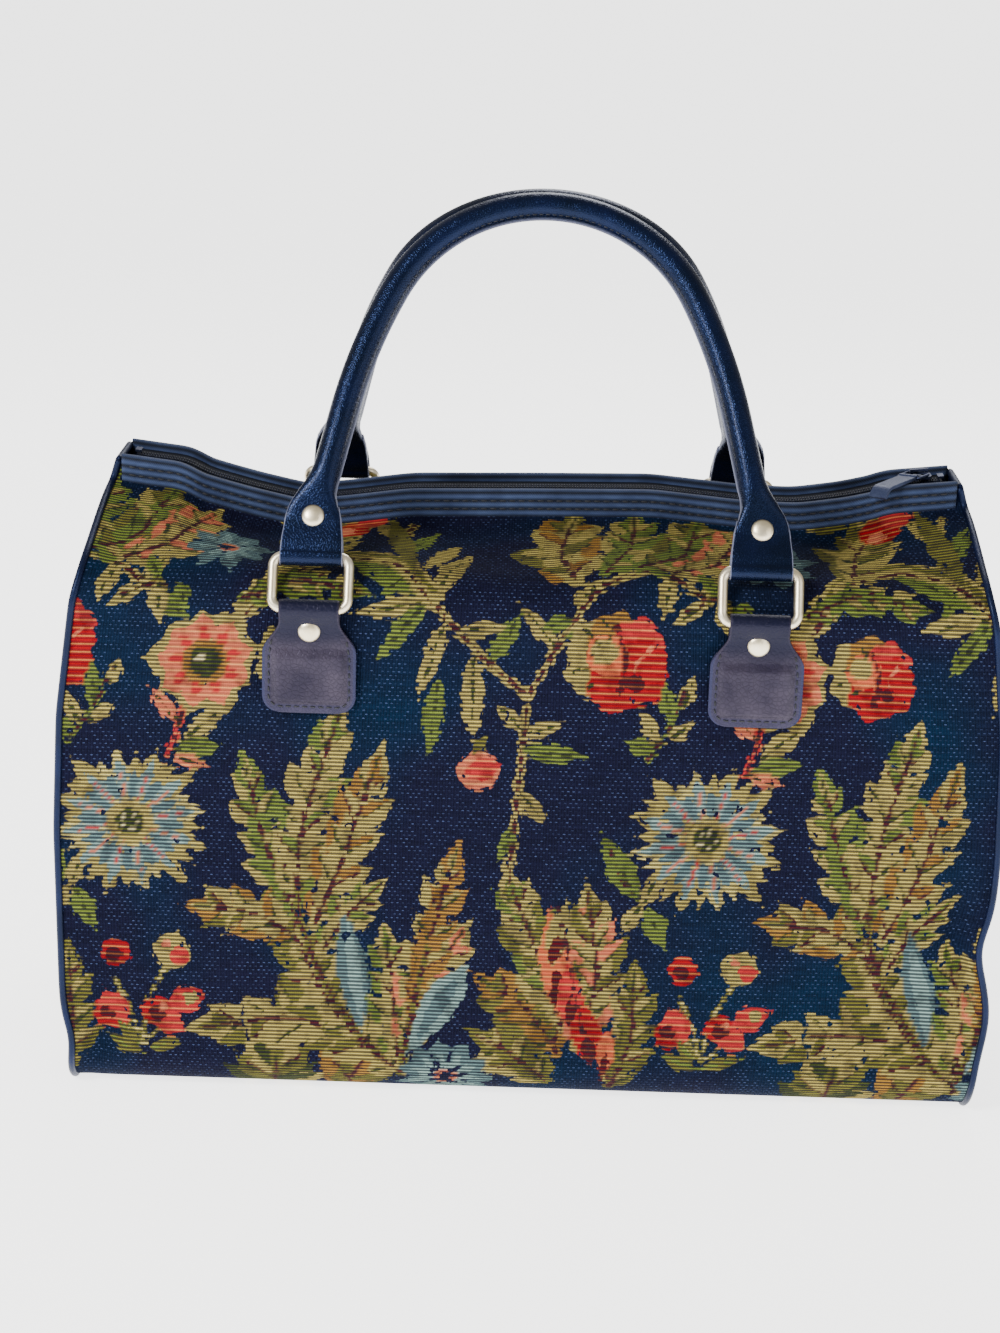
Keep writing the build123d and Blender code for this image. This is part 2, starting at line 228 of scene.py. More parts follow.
def makeMesh(name, points, faces, material, smooth=True):
    mesh = bpy.data.meshes.new(name)
    mesh.from_pydata((np.asarray(points, float).reshape(-1, 3) * mm).tolist(), [], faces)
    mesh.polygons.foreach_set("use_smooth", [smooth] * len(mesh.polygons))
    mesh.materials.append(material)
    mesh.update()
    thing = bpy.data.objects.new(name, mesh)
    bpy.context.scene.collection.objects.link(thing)
    return thing


def gridFaces(rows, columns, closed=False, start=0):
    # the quads of a grid whose columns may close into a ring
    i, j = np.meshgrid(np.arange(rows - 1), np.arange(columns if closed else columns - 1), indexing="ij")
    k = (j + 1) % columns
    quads = np.stack([i * columns + j, i * columns + k, (i + 1) * columns + k, (i + 1) * columns + j], -1)
    return (quads.reshape(-1, 4) + start).tolist()


def ringFaces(rows, columns, start=0):
    # a closed tube with both ends capped
    faces = gridFaces(rows, columns, closed=True, start=start)
    faces.append([start + k for k in reversed(range(columns))])
    faces.append([start + (rows - 1) * columns + k for k in range(columns)])
    return faces


def flipped(faces, flip=True):
    # the same faces looking the other way, where asked
    return [face[::-1] for face in faces] if flip else faces


def setValue(thing, name, values):
    # a number or a colour at each point
    kind = "FLOAT" if values.ndim == 1 else "FLOAT_COLOR"
    if kind == "FLOAT_COLOR":
        values = np.concatenate([values, np.ones((len(values), 1))], 1)
    attribute = thing.data.attributes.new(name, kind, "POINT")
    attribute.data.foreach_set("value" if kind == "FLOAT" else "color", values.astype(np.float32).ravel())


def setUv(thing, name, coordinates):
    layer = thing.data.uv_layers.new(name=name)
    corner = np.zeros(len(thing.data.loops), np.int32)
    thing.data.loops.foreach_get("vertex_index", corner)
    layer.data.foreach_set("uv", coordinates[corner].astype(np.float32).ravel())


def finishPiece(thing, body, slot, *replaced):
    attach(thing, body)
    if replaced:
        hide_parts(*replaced)


class Wire:
    # a shader output that takes part in plain arithmetic
    def __init__(self, finish, socket):
        self.finish = finish
        self.socket = socket

    def __add__(self, other):
        return self.finish.maths("ADD", self, other)

    def __radd__(self, other):
        return self.finish.maths("ADD", other, self)

    def __sub__(self, other):
        return self.finish.maths("SUBTRACT", self, other)

    def __rsub__(self, other):
        return self.finish.maths("SUBTRACT", other, self)

    def __mul__(self, other):
        return self.finish.maths("MULTIPLY", self, other)

    def __rmul__(self, other):
        return self.finish.maths("MULTIPLY", other, self)

    def __truediv__(self, other):
        return self.finish.maths("DIVIDE", self, other)

    def __gt__(self, other):
        return self.finish.maths("GREATER_THAN", self, other)

    def __lt__(self, other):
        return self.finish.maths("LESS_THAN", self, other)

    def floor(self):
        return self.finish.maths("FLOOR", self)

    def fraction(self):
        return self.finish.maths("FRACT", self)

    def size(self):
        return self.finish.maths("ABSOLUTE", self)

    def sine(self):
        return self.finish.maths("SINE", self)

    def clamp(self):
        return self.finish.maths("ADD", self, 0.0, clamp=True)


class Finish:
    # a material under a Principled shader, whose sockets take plain values or wires
    def __init__(self, name, **shader):
        self.material = bpy.data.materials.new(name)
        self.material.use_nodes = True
        self.tree = self.material.node_tree
        self.tree.nodes.clear()
        out = self.tree.nodes.new("ShaderNodeOutputMaterial")
        self.shader = self.tree.nodes.new("ShaderNodeBsdfPrincipled")
        self.tree.links.new(self.shader.outputs[0], out.inputs["Surface"])
        for socket, value in shader.items():
            self.plug(self.shader.inputs[socket.replace("_", " ")], value)

    def plug(self, socket, value):
        if isinstance(value, Wire):
            self.tree.links.new(value.socket, socket)
        elif isinstance(value, (tuple, list)) and len(value) == 3 and socket.type == "RGBA":
            socket.default_value = (*value, 1.0)
        else:
            socket.default_value = value

    def add(self, kind, settings, sockets, out=0):
        node = self.tree.nodes.new(kind)
        for key, value in settings.items():
            setattr(node, key, value)
        for key, value in sockets.items():
            self.plug(node.inputs[key], value)
        return Wire(self, node.outputs[out])

    def maths(self, operation, *values, clamp=False):
        settings = {"operation": operation, "use_clamp": clamp}
        return self.add("ShaderNodeMath", settings, dict(enumerate(values)))

    def mix(self, factor, low, high):
        return self.add("ShaderNodeMix", {"data_type": "RGBA"}, {0: factor, 6: low, 7: high}, out=2)

    def scaled(self, colour, amount):
        return self.add("ShaderNodeVectorMath", {"operation": "SCALE"}, {0: colour, "Scale": amount})

    def value(self, name):
        return self.add("ShaderNodeAttribute", {"attribute_name": name}, {}, out="Fac")

    def colour(self, name):
        return self.add("ShaderNodeAttribute", {"attribute_name": name}, {}, out="Color")

    def place(self):
        return self.add("ShaderNodeTexCoord", {}, {}, out="Object")

    def noise(self, vector, scale, detail=2.0, roughness=0.5):
        sockets = {"Vector": vector, "Scale": scale, "Detail": detail, "Roughness": roughness}
        return self.add("ShaderNodeTexNoise", {}, sockets, out="Fac")

    def chance(self, x, y):
        pair = self.add("ShaderNodeCombineXYZ", {}, {0: x, 1: y})
        return self.add("ShaderNodeTexWhiteNoise", {"noise_dimensions": "2D"}, {"Vector": pair}, out="Value")

    def split(self, vector):
        node = self.tree.nodes.new("ShaderNodeSeparateXYZ")
        self.plug(node.inputs[0], vector)
        return [Wire(self, out) for out in node.outputs]

    def clothPlace(self, layer):
        # where a point lies on the flat cloth, across and up, in millimetres
        across, up = self.split(self.add("ShaderNodeUVMap", {"uv_map": layer}, {}))[:2]
        return across * 1000, up * 1000

    def drift(self, wire, start, contrast):
        # a value opened out so that it climbs from 0 at the start, and held between 0 and 1
        return ((wire - start) * contrast).clamp()

    def bump(self, height, distance, strength=1.0):
        sockets = {"Height": height, "Distance": distance * mm, "Strength": strength}
        self.plug(self.shader.inputs["Normal"], self.add("ShaderNodeBump", {}, sockets))

    def paint(self, socket, value):
        self.plug(self.shader.inputs[socket], value)


def ink(code):
    # a colour from its six-figure code, made linear
    parts = [int(code[k : k + 2], 16) / 255 for k in (0, 2, 4)]
    return tuple(p / 12.92 if p <= 0.04045 else ((p + 0.055) / 1.055) ** 2.4 for p in parts)


tapestry = {
    "rowPitch": 2.0, "floatLength": 4.5, "floatStagger": 0.37, "raggedness": 2.4, "edgeSharpness": 1.6,
    # dark slits, and how far inside a motif they start
    "slitScale": 150.0, "slitRarity": 0.65, "slitContrast": 22, "slitStart": 1.4, "slitDepth": 4.2,
    # the shade of a float: its base, its own chance, every second row, and worn patches
    "shade": 0.80, "streakLength": 11, "streak": 0.34, "parity": 0.16, "patchScale": 95.0, "patch": 0.5,
    "groundDeep": ink("0d0e22"), "groundTeal": ink("03172b"), "groundShade": 0.92,
    "ribTurns": 4.4, "ribShade": 0.18, "groundStreakLength": 7, "groundStreak": 0.3,
    "warmFloat": ink("b08c48"), "warmShare": 0.34,
    "groundFleck": ink("46547a"), "fleckPitch": (2.7, 2.0), "fleckSize": 0.34,
    "dyeStrength": 0.66, "gapWidth": 0.80, "gapSharpness": 3.2, "gapDepth": 0.94, "gapInk": ink("12101c"),
    "threadTurns": 6.5, "relief": 0.45,
}


def tapestryFinish():
    f = Finish("tapestryCloth", Roughness=0.9, Specular_IOR_Level=0.06)
    x, v = f.clothPlace("weave")
    row = v / tapestry["rowPitch"]
    rowNumber = row.floor()
    phase = row.fraction()
    sharpness = tapestry["edgeSharpness"]
    cell = (x / tapestry["floatLength"] + rowNumber * tapestry["floatStagger"]).floor()
    ragged = (f.chance(cell, rowNumber) - 0.5) * tapestry["raggedness"]
    edge = f.value("edge")
    # dark slits open only where a motif is broad, so stems stay whole
    slitNoise = f.noise(f.place(), tapestry["slitScale"], 2.0)
    slit = f.drift(slitNoise, tapestry["slitRarity"], tapestry["slitContrast"])
    slit = slit * f.drift(edge, tapestry["slitStart"], 2)
    motif = ((edge + ragged - slit * tapestry["slitDepth"]) * sharpness + 0.5).clamp()
    fine = ((f.value("fineEdge") + ragged * 0.8) * sharpness + 0.5).clamp()
    dye = f.mix(fine, f.colour("dye"), f.colour("fineDye"))
    streak = f.chance((x / tapestry["streakLength"] + rowNumber * 0.61).floor(), rowNumber + 37)
    parity = (rowNumber * 0.5).fraction() * 2
    shade = tapestry["shade"] + streak * tapestry["streak"] + parity * tapestry["parity"]
    patch = f.noise(f.place(), tapestry["patchScale"], 3.0)
    shade = shade * (1.12 - f.drift(patch, 0.5, 7) * tapestry["patch"])
    dye = f.scaled(dye, shade)
    # the ground is deep blue, with fine ribs and staggered flecks
    across, up = tapestry["fleckPitch"]
    fleckRow = (v / up).floor()
    fleckPlace = x / across + fleckRow * 0.5
    fleckX = (fleckPlace.fraction() - 0.5) * across
    fleckV = ((v / up).fraction() - 0.5) * up
    fleckChance = f.chance(fleckPlace.floor(), fleckRow + 11)
    fleck = (fleckX * fleckX * 0.8 + fleckV * fleckV * 4.5) < tapestry["fleckSize"]
    fleck = fleck * fleckChance * (0.15 + fleckChance * 0.45)
    tone = f.noise(f.place(), 9.0, 2.0)
    ground = f.mix(f.drift(tone, 0.47, 5), tapestry["groundDeep"], tapestry["groundTeal"])
    ribs = (x * tapestry["ribTurns"]).sine()
    groundStreak = f.chance((x / tapestry["groundStreakLength"]).floor(), rowNumber) - 0.5
    groundShade = tapestry["groundShade"] + ribs * tapestry["ribShade"]
    ground = f.scaled(ground, groundShade + groundStreak * tapestry["groundStreak"])
    ground = f.mix(fleck, ground, tapestry["groundFleck"])
    # the dark gap between one float and the next
    crest = 1 - ((phase - 0.5).size() * 2)
    gap = ((tapestry["gapWidth"] - crest) * tapestry["gapSharpness"]).clamp()
    warmth = f.value("warmth") * (1 - fine) + f.value("fineWarmth") * fine
    under = f.mix(0.10 + warmth * 0.40, tapestry["gapInk"], dye)
    dye = f.mix(warmth * parity * tapestry["warmShare"], dye, f.scaled(tapestry["warmFloat"], shade))
    dye = f.mix(gap * tapestry["gapDepth"], dye, under)
    f.paint("Base Color", f.mix(motif, ground, dye))
    threads = (x * tapestry["threadTurns"]).sine() * 0.12
    height = motif * (0.35 + crest * 0.75) + (1 - motif) * (crest * 0.35 + ribs * 0.2) + threads
    f.bump(height, tapestry["relief"], 0.9)
    return f.material


leather = {
    "cloudScale": 55.0, "cellScale": 900.0, "poreScale": 1900.0, "creaseScale": 240.0,
    # dark is the deep navy of the painted shade under a tab's fold
    "cellShade": 0.28, "poreShine": 0.22, "edgeShine": 0.3, "relief": 0.14, "dark": ink("060b1f"),
}


def leatherFinish(name, deep, light, grain=1.0, shine=0.36, edgeColour="8d90a6", gloss=0.3, tint="8fb0ff"):
    # a pale edge shows where the edge attribute is above 0, and painted shade darkens the leather where it is
    # below
    f = Finish(name, Specular_IOR_Level=gloss, Specular_Tint=ink(tint), Coat_Weight=0.06, Coat_Roughness=0.2)
    place = f.place()
    cloud = f.noise(place, leather["cloudScale"], 3.0)
    cells = f.add("ShaderNodeTexVoronoi", {"feature": "DISTANCE_TO_EDGE"},
                  {"Vector": place, "Scale": leather["cellScale"] / grain, "Randomness": 1.0}, out="Distance")
    pores = f.noise(place, leather["poreScale"] / grain, 2.0)
    creases = f.noise(place, leather["creaseScale"] / grain, 4.0, 0.65)
    body = f.mix(f.drift(cloud, 0.35, 2.6), ink(deep), ink(light))
    body = f.scaled(body, 0.78 + (cells * 6).clamp() * leather["cellShade"])
    pale = f.value("edgeAndPaintedShade")
    edge = pale.clamp()
    # painted shade: below 0 the leather is darkened towards deep navy
    body = f.mix((0 - pale).clamp(), body, leather["dark"])
    f.paint("Base Color", f.mix(edge, body, ink(edgeColour)))
    f.paint("Roughness", shine + (pores - 0.5) * leather["poreShine"] + edge * leather["edgeShine"])
    f.bump((cells * 5).clamp() * 0.5 + pores * 0.25 + creases * 0.8, leather["relief"] * grain, 0.8)
    return f.material


binding = {
    "step": 2.0, "height": 12.5, "outer": 2.3, "ridge": 0.38, "ridges": 3, "endGap": 0.4,
    "foldOut": 1.2, "foldUp": 1.4, "stitchRows": (-4.2, -8.3), "stitchLength": 3.3, "stitchPitch": 4.7,
    "deep": ink("26324f"), "light": ink("3c4a6a"), "edge": ink("10152c"), "grooveShade": 0.46,
}


def bindingFinish():
    f = Finish("bindingTape", Roughness=0.8, Specular_IOR_Level=0.2, Sheen_Weight=0.06)
    x, v = f.clothPlace("strip")
    twill = ((x + v * 0.8) * 5.6).sine()
    cross = (x * 9.0).sine()
    tone = f.noise(f.place(), 60.0, 3.0)
    body = f.mix(f.drift(tone, 0.35, 2.4), binding["deep"], binding["light"])
    # painted highlight on the three ridges and painted shade in the two grooves where the stitches lie
    height, ridges = binding["height"], binding["ridges"]
    groove = ((v - 1000 + height) * (2 * math.pi * ridges / height) + math.pi / 2).sine()
    body = f.scaled(body, (0.62 - groove * binding["grooveShade"] + twill * 0.12 + cross * 0.05))
    f.paint("Base Color", f.mix(f.value("edgeAndPaintedShade").clamp(), body, binding["edge"]))
    f.bump(twill * 0.5 + cross * 0.3 + tone, 0.12, 0.8)
    return f.material


def wovenFinish(name, deep, light, pitch, roughness=0.8):
    f = Finish(name, Roughness=roughness, Specular_IOR_Level=0.2)
    place = f.place()
    turns = 6283.0 / pitch
    along, across, up = (wire * turns for wire in f.split(place))
    weave = along.sine() * (up + across).sine()
    tone = f.noise(place, 45.0, 3.0)
    body = f.mix(f.drift(tone, 0.3, 2), ink(deep), ink(light))
    f.paint("Base Color", f.scaled(body, 0.9 + weave * 0.12))
    f.bump(weave, 0.08, 0.7)
    return f.material


def metalFinish(name, colour, roughness, wear="fff6e4"):
    f = Finish(name, Metallic=1.0)
    place = f.place()
    cloud = f.noise(place, 120.0, 3.0)
    scuff = f.noise(place, 700.0, 4.0, 0.7)
    f.paint("Base Color", f.mix(f.drift(cloud, 0.4, 2.5), ink(colour), ink(wear)))
    f.paint("Roughness", roughness + (scuff - 0.5) * 0.18)
    f.bump(scuff, 0.02, 0.5)
    return f.material


def threadFinish(name, deep, light):
    f = Finish(name, Roughness=0.6)
    ply = f.noise(f.place(), 1500.0, 1.0)
    f.paint("Base Color", f.mix(ply, ink(deep), ink(light)))
    f.bump(ply, 0.08, 0.6)
    return f.material


finishes = {
    "tapestry": tapestryFinish(),
    "leather": leatherFinish("handleLeather", "03060f", "060b20", 1.1, 0.27, gloss=0.38, tint="7f9ff0"),
    "tabLeather": leatherFinish("tabLeather", "201c2a", "3a3440", 2.0, 0.40, "2b2d46", 0.2, "d4ccec"),
    "pullLeather": leatherFinish("pullLeather", "2c3146", "474e63", 0.9, 0.45, "8f95a8"),
    "piping": leatherFinish("pipingLeather", "070a1a", "0e1430", 0.7, 0.4),
    "binding": bindingFinish(),
    "zipTape": wovenFinish("zipTapeWeave", "03060f", "070c1c", 1.1),
    "zipCoil": wovenFinish("zipCoilNylon", "050a1c", "0b1530", 0.9, 0.5),
    "lining": wovenFinish("liningWeave", "0b1020", "161c33", 0.8),
    "board": wovenFinish("boardFibre", "5d4930", "7a6343", 2.4, 0.9),
    "cordCore": wovenFinish("cordFibre", "8f836b", "b0a58b", 1.6, 0.9),
    "zipMetal": metalFinish("darkZipMetal", "2a2f45", 0.4, "454c66"),
    "paleGold": metalFinish("paleGoldMetal", "e8d8b4", 0.36, "fff4dc"),
    "thread": threadFinish("darkThread", "080b18", "03050d"),
}
print("finishes made")


dyes = {name: np.array(ink(code)) * tapestry["dyeStrength"] for name, code in {
    "straw": "b9a653", "lemon": "d2c06c", "olive": "77722a", "moss": "40481a", "leaf": "75842f",
    "pink": "c8684a", "rose": "b82a2a", "red": "a0040f", "wine": "560610", "sky": "8aa8a0",
    "mist": "64807f", "gold": "a5782a", "vein": "4a1a20", "coral": "cc5c38", "cream": "dccd90",
}.items()}
# the pattern's repeats, and how far it is shifted along on the back and on each end
pattern = {"repeatAcross": 283.0, "repeatUp": 356.0, "backShift": 120, "endShift": {-1: 150, 1: 20}}


class Weaver:
    # lays motifs on a cloth whose points are at x across and v up, both in millimetres
    def __init__(self, x, v):
        self.x, self.v = x, v
        count = len(x)
        self.edge, self.fineEdge = np.full(count, -9.0), np.full(count, -9.0)
        self.dye, self.fineDye = np.zeros((count, 3)), np.zeros((count, 3))

    def at(self, centreX, centreV, reach):
        # picks the points near a centre, in every repeat of the pattern
        across, up = pattern["repeatAcross"], pattern["repeatUp"]
        dx = (self.x - centreX + across / 2) % across - across / 2
        dv = (self.v - centreV + up / 2) % up - up / 2
        self.near = np.nonzero((abs(dx) < reach) & (abs(dv) < reach))[0]
        self.px, self.pv = dx[self.near] + centreX, dv[self.near] + centreV
        return self

    def lay(self, depth, colour):
        edge = self.edge[self.near]
        wins = (depth > 0) | (depth > edge)
        self.dye[self.near[wins]] = dyes[colour]
        covered = np.minimum(self.fineEdge[self.near], np.where(depth > 0, -depth, 9.0))
        self.fineEdge[self.near] = covered
        self.edge[self.near] = np.maximum(edge, depth)

    def trace(self, depth, colour):
        fine = self.fineEdge[self.near]
        wins = (depth > 0) | (depth > fine)
        self.fineDye[self.near[wins]] = dyes[colour]
        self.fineEdge[self.near] = np.maximum(fine, depth)

    def petal(self, base, tip, half, belly=0.5):
        (bx, bv), (tx, tv) = base, tip
        length = math.hypot(tx - bx, tv - bv)
        ux, uv = (tx - bx) / length, (tv - bv) / length
        t = ((self.px - bx) * ux + (self.pv - bv) * uv) / length
        n = (self.pv - bv) * ux - (self.px - bx) * uv
        power = math.log(0.5) / math.log(belly)
        width = half * np.sin(math.pi * np.clip(t, 0.0001, 0.9999) ** power)
        return np.minimum(width - abs(n), np.minimum(t, 1 - t) * length + 1.0)

    def disc(self, centre, radius):
        return radius - np.hypot(self.px - centre[0], self.pv - centre[1])

    def stroke(self, points, width):
        best = np.full(len(self.px), 99.0)
        for (ax, av), (bx, bv) in zip(points, points[1:]):
            dx, dv = bx - ax, bv - av
            t = np.clip(((self.px - ax) * dx + (self.pv - av) * dv) / (dx * dx + dv * dv), 0, 1)
            best = np.minimum(best, np.hypot(self.px - ax - t * dx, self.pv - av - t * dv))
        return width / 2 - best


def bent(points, count=12):
    # a smooth line through a few points
    points = np.array(points, float)
    along = lengths(points)
    fine = np.linspace(0, along[-1], count * len(points))
    line = np.stack([np.interp(fine, along, points[:, k]) for k in (0, 1)], 1)
    size = count | 1
    window = np.hanning(size + 2)[1:-1]
    half = size // 2
    padded = np.pad(line, ((half, half), (0, 0)), mode="reflect", reflect_type="odd")
    return np.stack([np.convolve(padded[:, k], window / window.sum(), mode="valid") for k in (0, 1)], 1)


leafShape = {"margin": 14, "lobeWidth": 0.36, "bodyWidth": 0.42, "veinWidth": 1.3, "ribWidth": 2.0}


def frond(w, rib, spread, count, inks=("straw", "olive"), lean=38, vein="vein", sides=(1, -1)):
    # a leaf with a broad body and pointed lobes on both sides of its rib
    line = bent(rib)
    along = lengths(line)
    reach = max(np.ptp(line[:, 0]), np.ptp(line[:, 1])) / 2 + spread + leafShape["margin"]
    middle = line.mean(0)
    w.at(middle[0], middle[1], reach)
    tip, before = line[-1], line[-6]
    forward = (tip - before) / np.linalg.norm(tip - before)
    wide = spread * leafShape["lobeWidth"]
    lobes = [(tip - forward * spread * 0.5, tip + forward * spread * 0.8, wide * 0.9, 0)]
    for k in range(count):
        share = (k + 0.35) / count
        place = np.array([np.interp(share * along[-1], along, line[:, a]) for a in (0, 1)])
        ahead = np.array([np.interp(share * along[-1] + 3, along, line[:, a]) for a in (0, 1)])
        heading = math.atan2(*(ahead - place)[::-1])
        for side in sides:
            angle = heading + side * math.radians(lean + 14 * (1 - share))
            size = spread * (0.68 + 0.5 * math.sin(math.pi * min(1, share * 1.1))) * (1.1 if k % 2 else 0.92)
            end = place + size * pointing(angle)
            lobes.append((place, end, wide * (0.9 + 0.25 * (k % 2)), side))
    body = np.full(len(w.px), -99.0)
    for number, point in enumerate(line[::3]):
        share = number * 3 / len(line)
        swell = spread * leafShape["bodyWidth"] * math.sin(math.pi * min(0.97, 0.14 + share * 0.86))
        body = np.maximum(body, swell - np.hypot(w.px - point[0], w.pv - point[1]))
    for number, (base, end, width, side) in enumerate(reversed(lobes)):
        w.lay(w.petal(base, end, width, 0.36), inks[number % len(inks)])
    w.lay(body, inks[0])
    for number, (base, end, width, side) in enumerate(reversed(lobes)):
        across = np.array([-(end - base)[1], (end - base)[0]]) / np.linalg.norm(end - base) * -side
        low = base + (end - base) * 0.06 + across * width * 0.45
        high = base + (end - base) * 0.84 + across * width * 0.2
        w.trace(w.petal(low, high, width * 0.4, 0.45), inks[(number + 1) % len(inks)])
        midrib = [base + (end - base) * 0.05, base + (end - base) * 0.72]
        w.trace(w.stroke(midrib, leafShape["veinWidth"]), "moss" if number % 3 else vein)
    w.trace(w.stroke(line[::3], leafShape["ribWidth"]), vein)


def sprig(w, stem, leaves, stemInk="olive", inks=("straw", "leaf"), width=2.6):
    line = bent(stem)
    middle = line.mean(0)
    points = list(line) + [tip for leaf in leaves for tip in leaf[:2]]
    reach = max(abs(np.array(points, float) - middle).max() + 10, 20)
    w.at(middle[0], middle[1], reach)
    w.lay(w.stroke(line[::3], width), stemInk)
    for number, (base, tip, half) in enumerate(leaves):
        w.lay(w.petal(base, tip, half, 0.45), inks[number % len(inks)])
        w.trace(w.stroke([base, (np.array(base) * 0.25 + np.array(tip) * 0.75)], 1.1), "moss")
    w.trace(w.stroke(line[::3], width * 0.4), "vein")


def veinedStem(w, points, width, veinWidth):
    line = bent(points)
    w.lay(w.stroke(line, width), "olive")
    w.trace(w.stroke(line, veinWidth), "vein")


def aster(w, centre, petals, turn, start, reach, inner, half):
    # a small grey-blue flower: pale petals from start to reach, with finer ones over them
    c = np.array(centre, float)
    for k in range(petals):
        way = pointing(k * 2 * math.pi / petals + turn)
        w.lay(w.petal(c + way * start, c + way * reach, half[0], 0.62), "mist")
        w.trace(w.petal(c, c + way * inner, half[1], 0.6), "sky")


def daisy(w, centre, radius, petals=12, turn=0.2):
    w.at(centre[0], centre[1], radius + 12)
    c = np.array(centre, float)
    w.lay(w.disc(c, radius * 0.4), "olive")
    # an inner ring of petals, and an outer ring half a petal further round
    rings = [(pointing(turn + 2 * math.pi * (k + shift) / petals), k, shift > 0)
             for shift in (0.5, 0) for k in range(petals)]
    for way, k, inner in rings:
        size = radius * ((0.93, 1.06, 0.98)[k % 3]) * (0.86 if inner else 1.0)
        w.lay(w.petal(c + way * 5, c + way * size, 4.6, 0.6), "straw" if k % 3 else "lemon")
    for way, k, inner in rings:
        size = radius * (0.66 if inner else 0.82)
        w.trace(w.petal(c + way * 8, c + way * size, 2.9, 0.6), "mist" if inner else "sky")
    for way, k, inner in rings[petals:]:
        w.trace(w.stroke([c + way * 9, c + way * radius * 0.62], 1.3), "pink" if k % 2 else "rose")
    w.trace(w.disc(c, radius * 0.27), "straw")
    w.trace(w.disc(c, radius * 0.17), "moss")
    for k in range(5):
        w.trace(w.disc(c + radius * 0.1 * pointing(2 * math.pi * k / 5), 1.2), "cream")


def openFlower(w, centre, radius, petals=9):
    w.at(centre[0], centre[1], radius + 12)
    c = np.array(centre, float)
    w.lay(w.disc(c, radius * 0.55), "rose")
    ways = [pointing(2 * math.pi * k / petals + 0.3) for k in range(petals)]
    for k, way in enumerate(ways):
        w.lay(w.petal(c, c + way * radius * (1.0, 1.1, 0.94)[k % 3], radius * 0.34, 0.68), "straw")
    for way in ways:
        w.trace(w.petal(c + way * 3, c + way * radius * 0.88, radius * 0.25, 0.66), "pink")
        w.trace(w.petal(c + way * 5, c + way * radius * 0.7, radius * 0.10, 0.6), "rose")
    w.trace(w.disc(c, radius * 0.42), "gold")
    w.trace(w.disc(c, radius * 0.30), "moss")
    w.trace(w.disc(c + np.array([-2, 2]), radius * 0.10), "cream")


def rose(w, centre, radius):
    w.at(centre[0], centre[1], radius + 12)
    c = np.array(centre, float)
    r = radius
    for angle, share, size, colour in (
        (2.6, 0.55, 0.62, "straw"), (3.5, 0.55, 0.60, "straw"), (1.7, 0.50, 0.58, "gold"),
        (4.6, 0.52, 0.60, "red"), (0.7, 0.55, 0.58, "rose"), (5.6, 0.58, 0.58, "red"),
        (0.0, 0.5, 0.55, "red"),
    ):
        at = c + r * share * pointing(angle)
        lobes = w.disc(at, r * size) + 0.9 * np.sin(6 * np.arctan2(w.pv - at[1], w.px - at[0]))
        w.lay(lobes, colour)
    w.trace(w.disc(c + np.array([-0.22 * r, 0.12 * r]), r * 0.46), "coral")
    w.trace(w.disc(c + np.array([-0.30 * r, 0.20 * r]), r * 0.30), "straw")
    folds = (((-0.05 * r, 0.75 * r), (0.2 * r, 0.1 * r), (0.0, -0.8 * r), 2.4, "wine"),
             ((0.75 * r, 0.35 * r), (0.4 * r, 0.0), (0.3 * r, -0.6 * r), 1.6, "pink"))
    for start, middle, end, width, colour in folds:
        w.trace(w.stroke(bent([c + start, c + middle, c + end]), width), colour)
    w.trace(w.disc(c + np.array([0.35 * r, -0.45 * r]), r * 0.20), "wine")
    for k in range(5):
        way = pointing(1.9 + 0.5 * k)
        w.trace(w.stroke([c + way * r * 0.55, c + way * r * 0.95], 1.2), "moss")


def berries(w, foot):
    f = np.array(foot, float)
    w.at(f[0], f[1] + 30, 52)
    for points in ([(0, 0), (-4, 18), (-12, 36)], [(0, 0), (4, 24), (14, 44)], [(0, 0), (-2, 8), (-16, 14)],
                   [(0, 0), (8, 8), (14, 12)]):
        stalk = bent([f + p for p in points])
        w.lay(w.stroke(stalk, 2.8), "olive")
        w.trace(w.stroke(stalk, 1.1), "lemon")
    for (x, v), tip, half, colour in (
        ((-22, 22), (-10, 10), 9, "red"), ((-12, 44), (-10, 56), 8, "red"), ((8, 12), (10, 26), 9, "red"),
        ((-8, 10), (-18, 30), 8, "rose"), ((14, 42), (20, 62), 10, "straw"), ((14, 22), (34, 30), 7, "rose"),
        ((6, 20), (22, 8), 7, "rose"),
    ):
        w.lay(w.petal(f + (x, v), f + tip, half, 0.5), colour)
        w.lay(w.disc(f + ((x + tip[0]) / 2, (v + tip[1]) / 2), half * 0.92), colour)
    for x, v, radius, colour in ((-17, 17, 4, "wine"), (-12, 49, 4, "wine"), (9, 18, 4.5, "wine"),
                                 (21, 50, 5, "rose"), (26, 27, 3.5, "straw"), (-14, 20, 2, "rose"),
                                 (14, 56, 2.5, "pink"), (12, 22, 2, "pink")):
        w.trace(w.disc(f + (x, v), radius), colour)
    for base, tip in (((0, -4), (-20, 4)), ((2, -2), (22, 4)), ((-2, 0), (-12, 12))):
        w.lay(w.petal(f + base, f + tip, 4, 0.45), "olive")
        w.trace(w.stroke([f + base, f + tip], 1.1), "leaf")


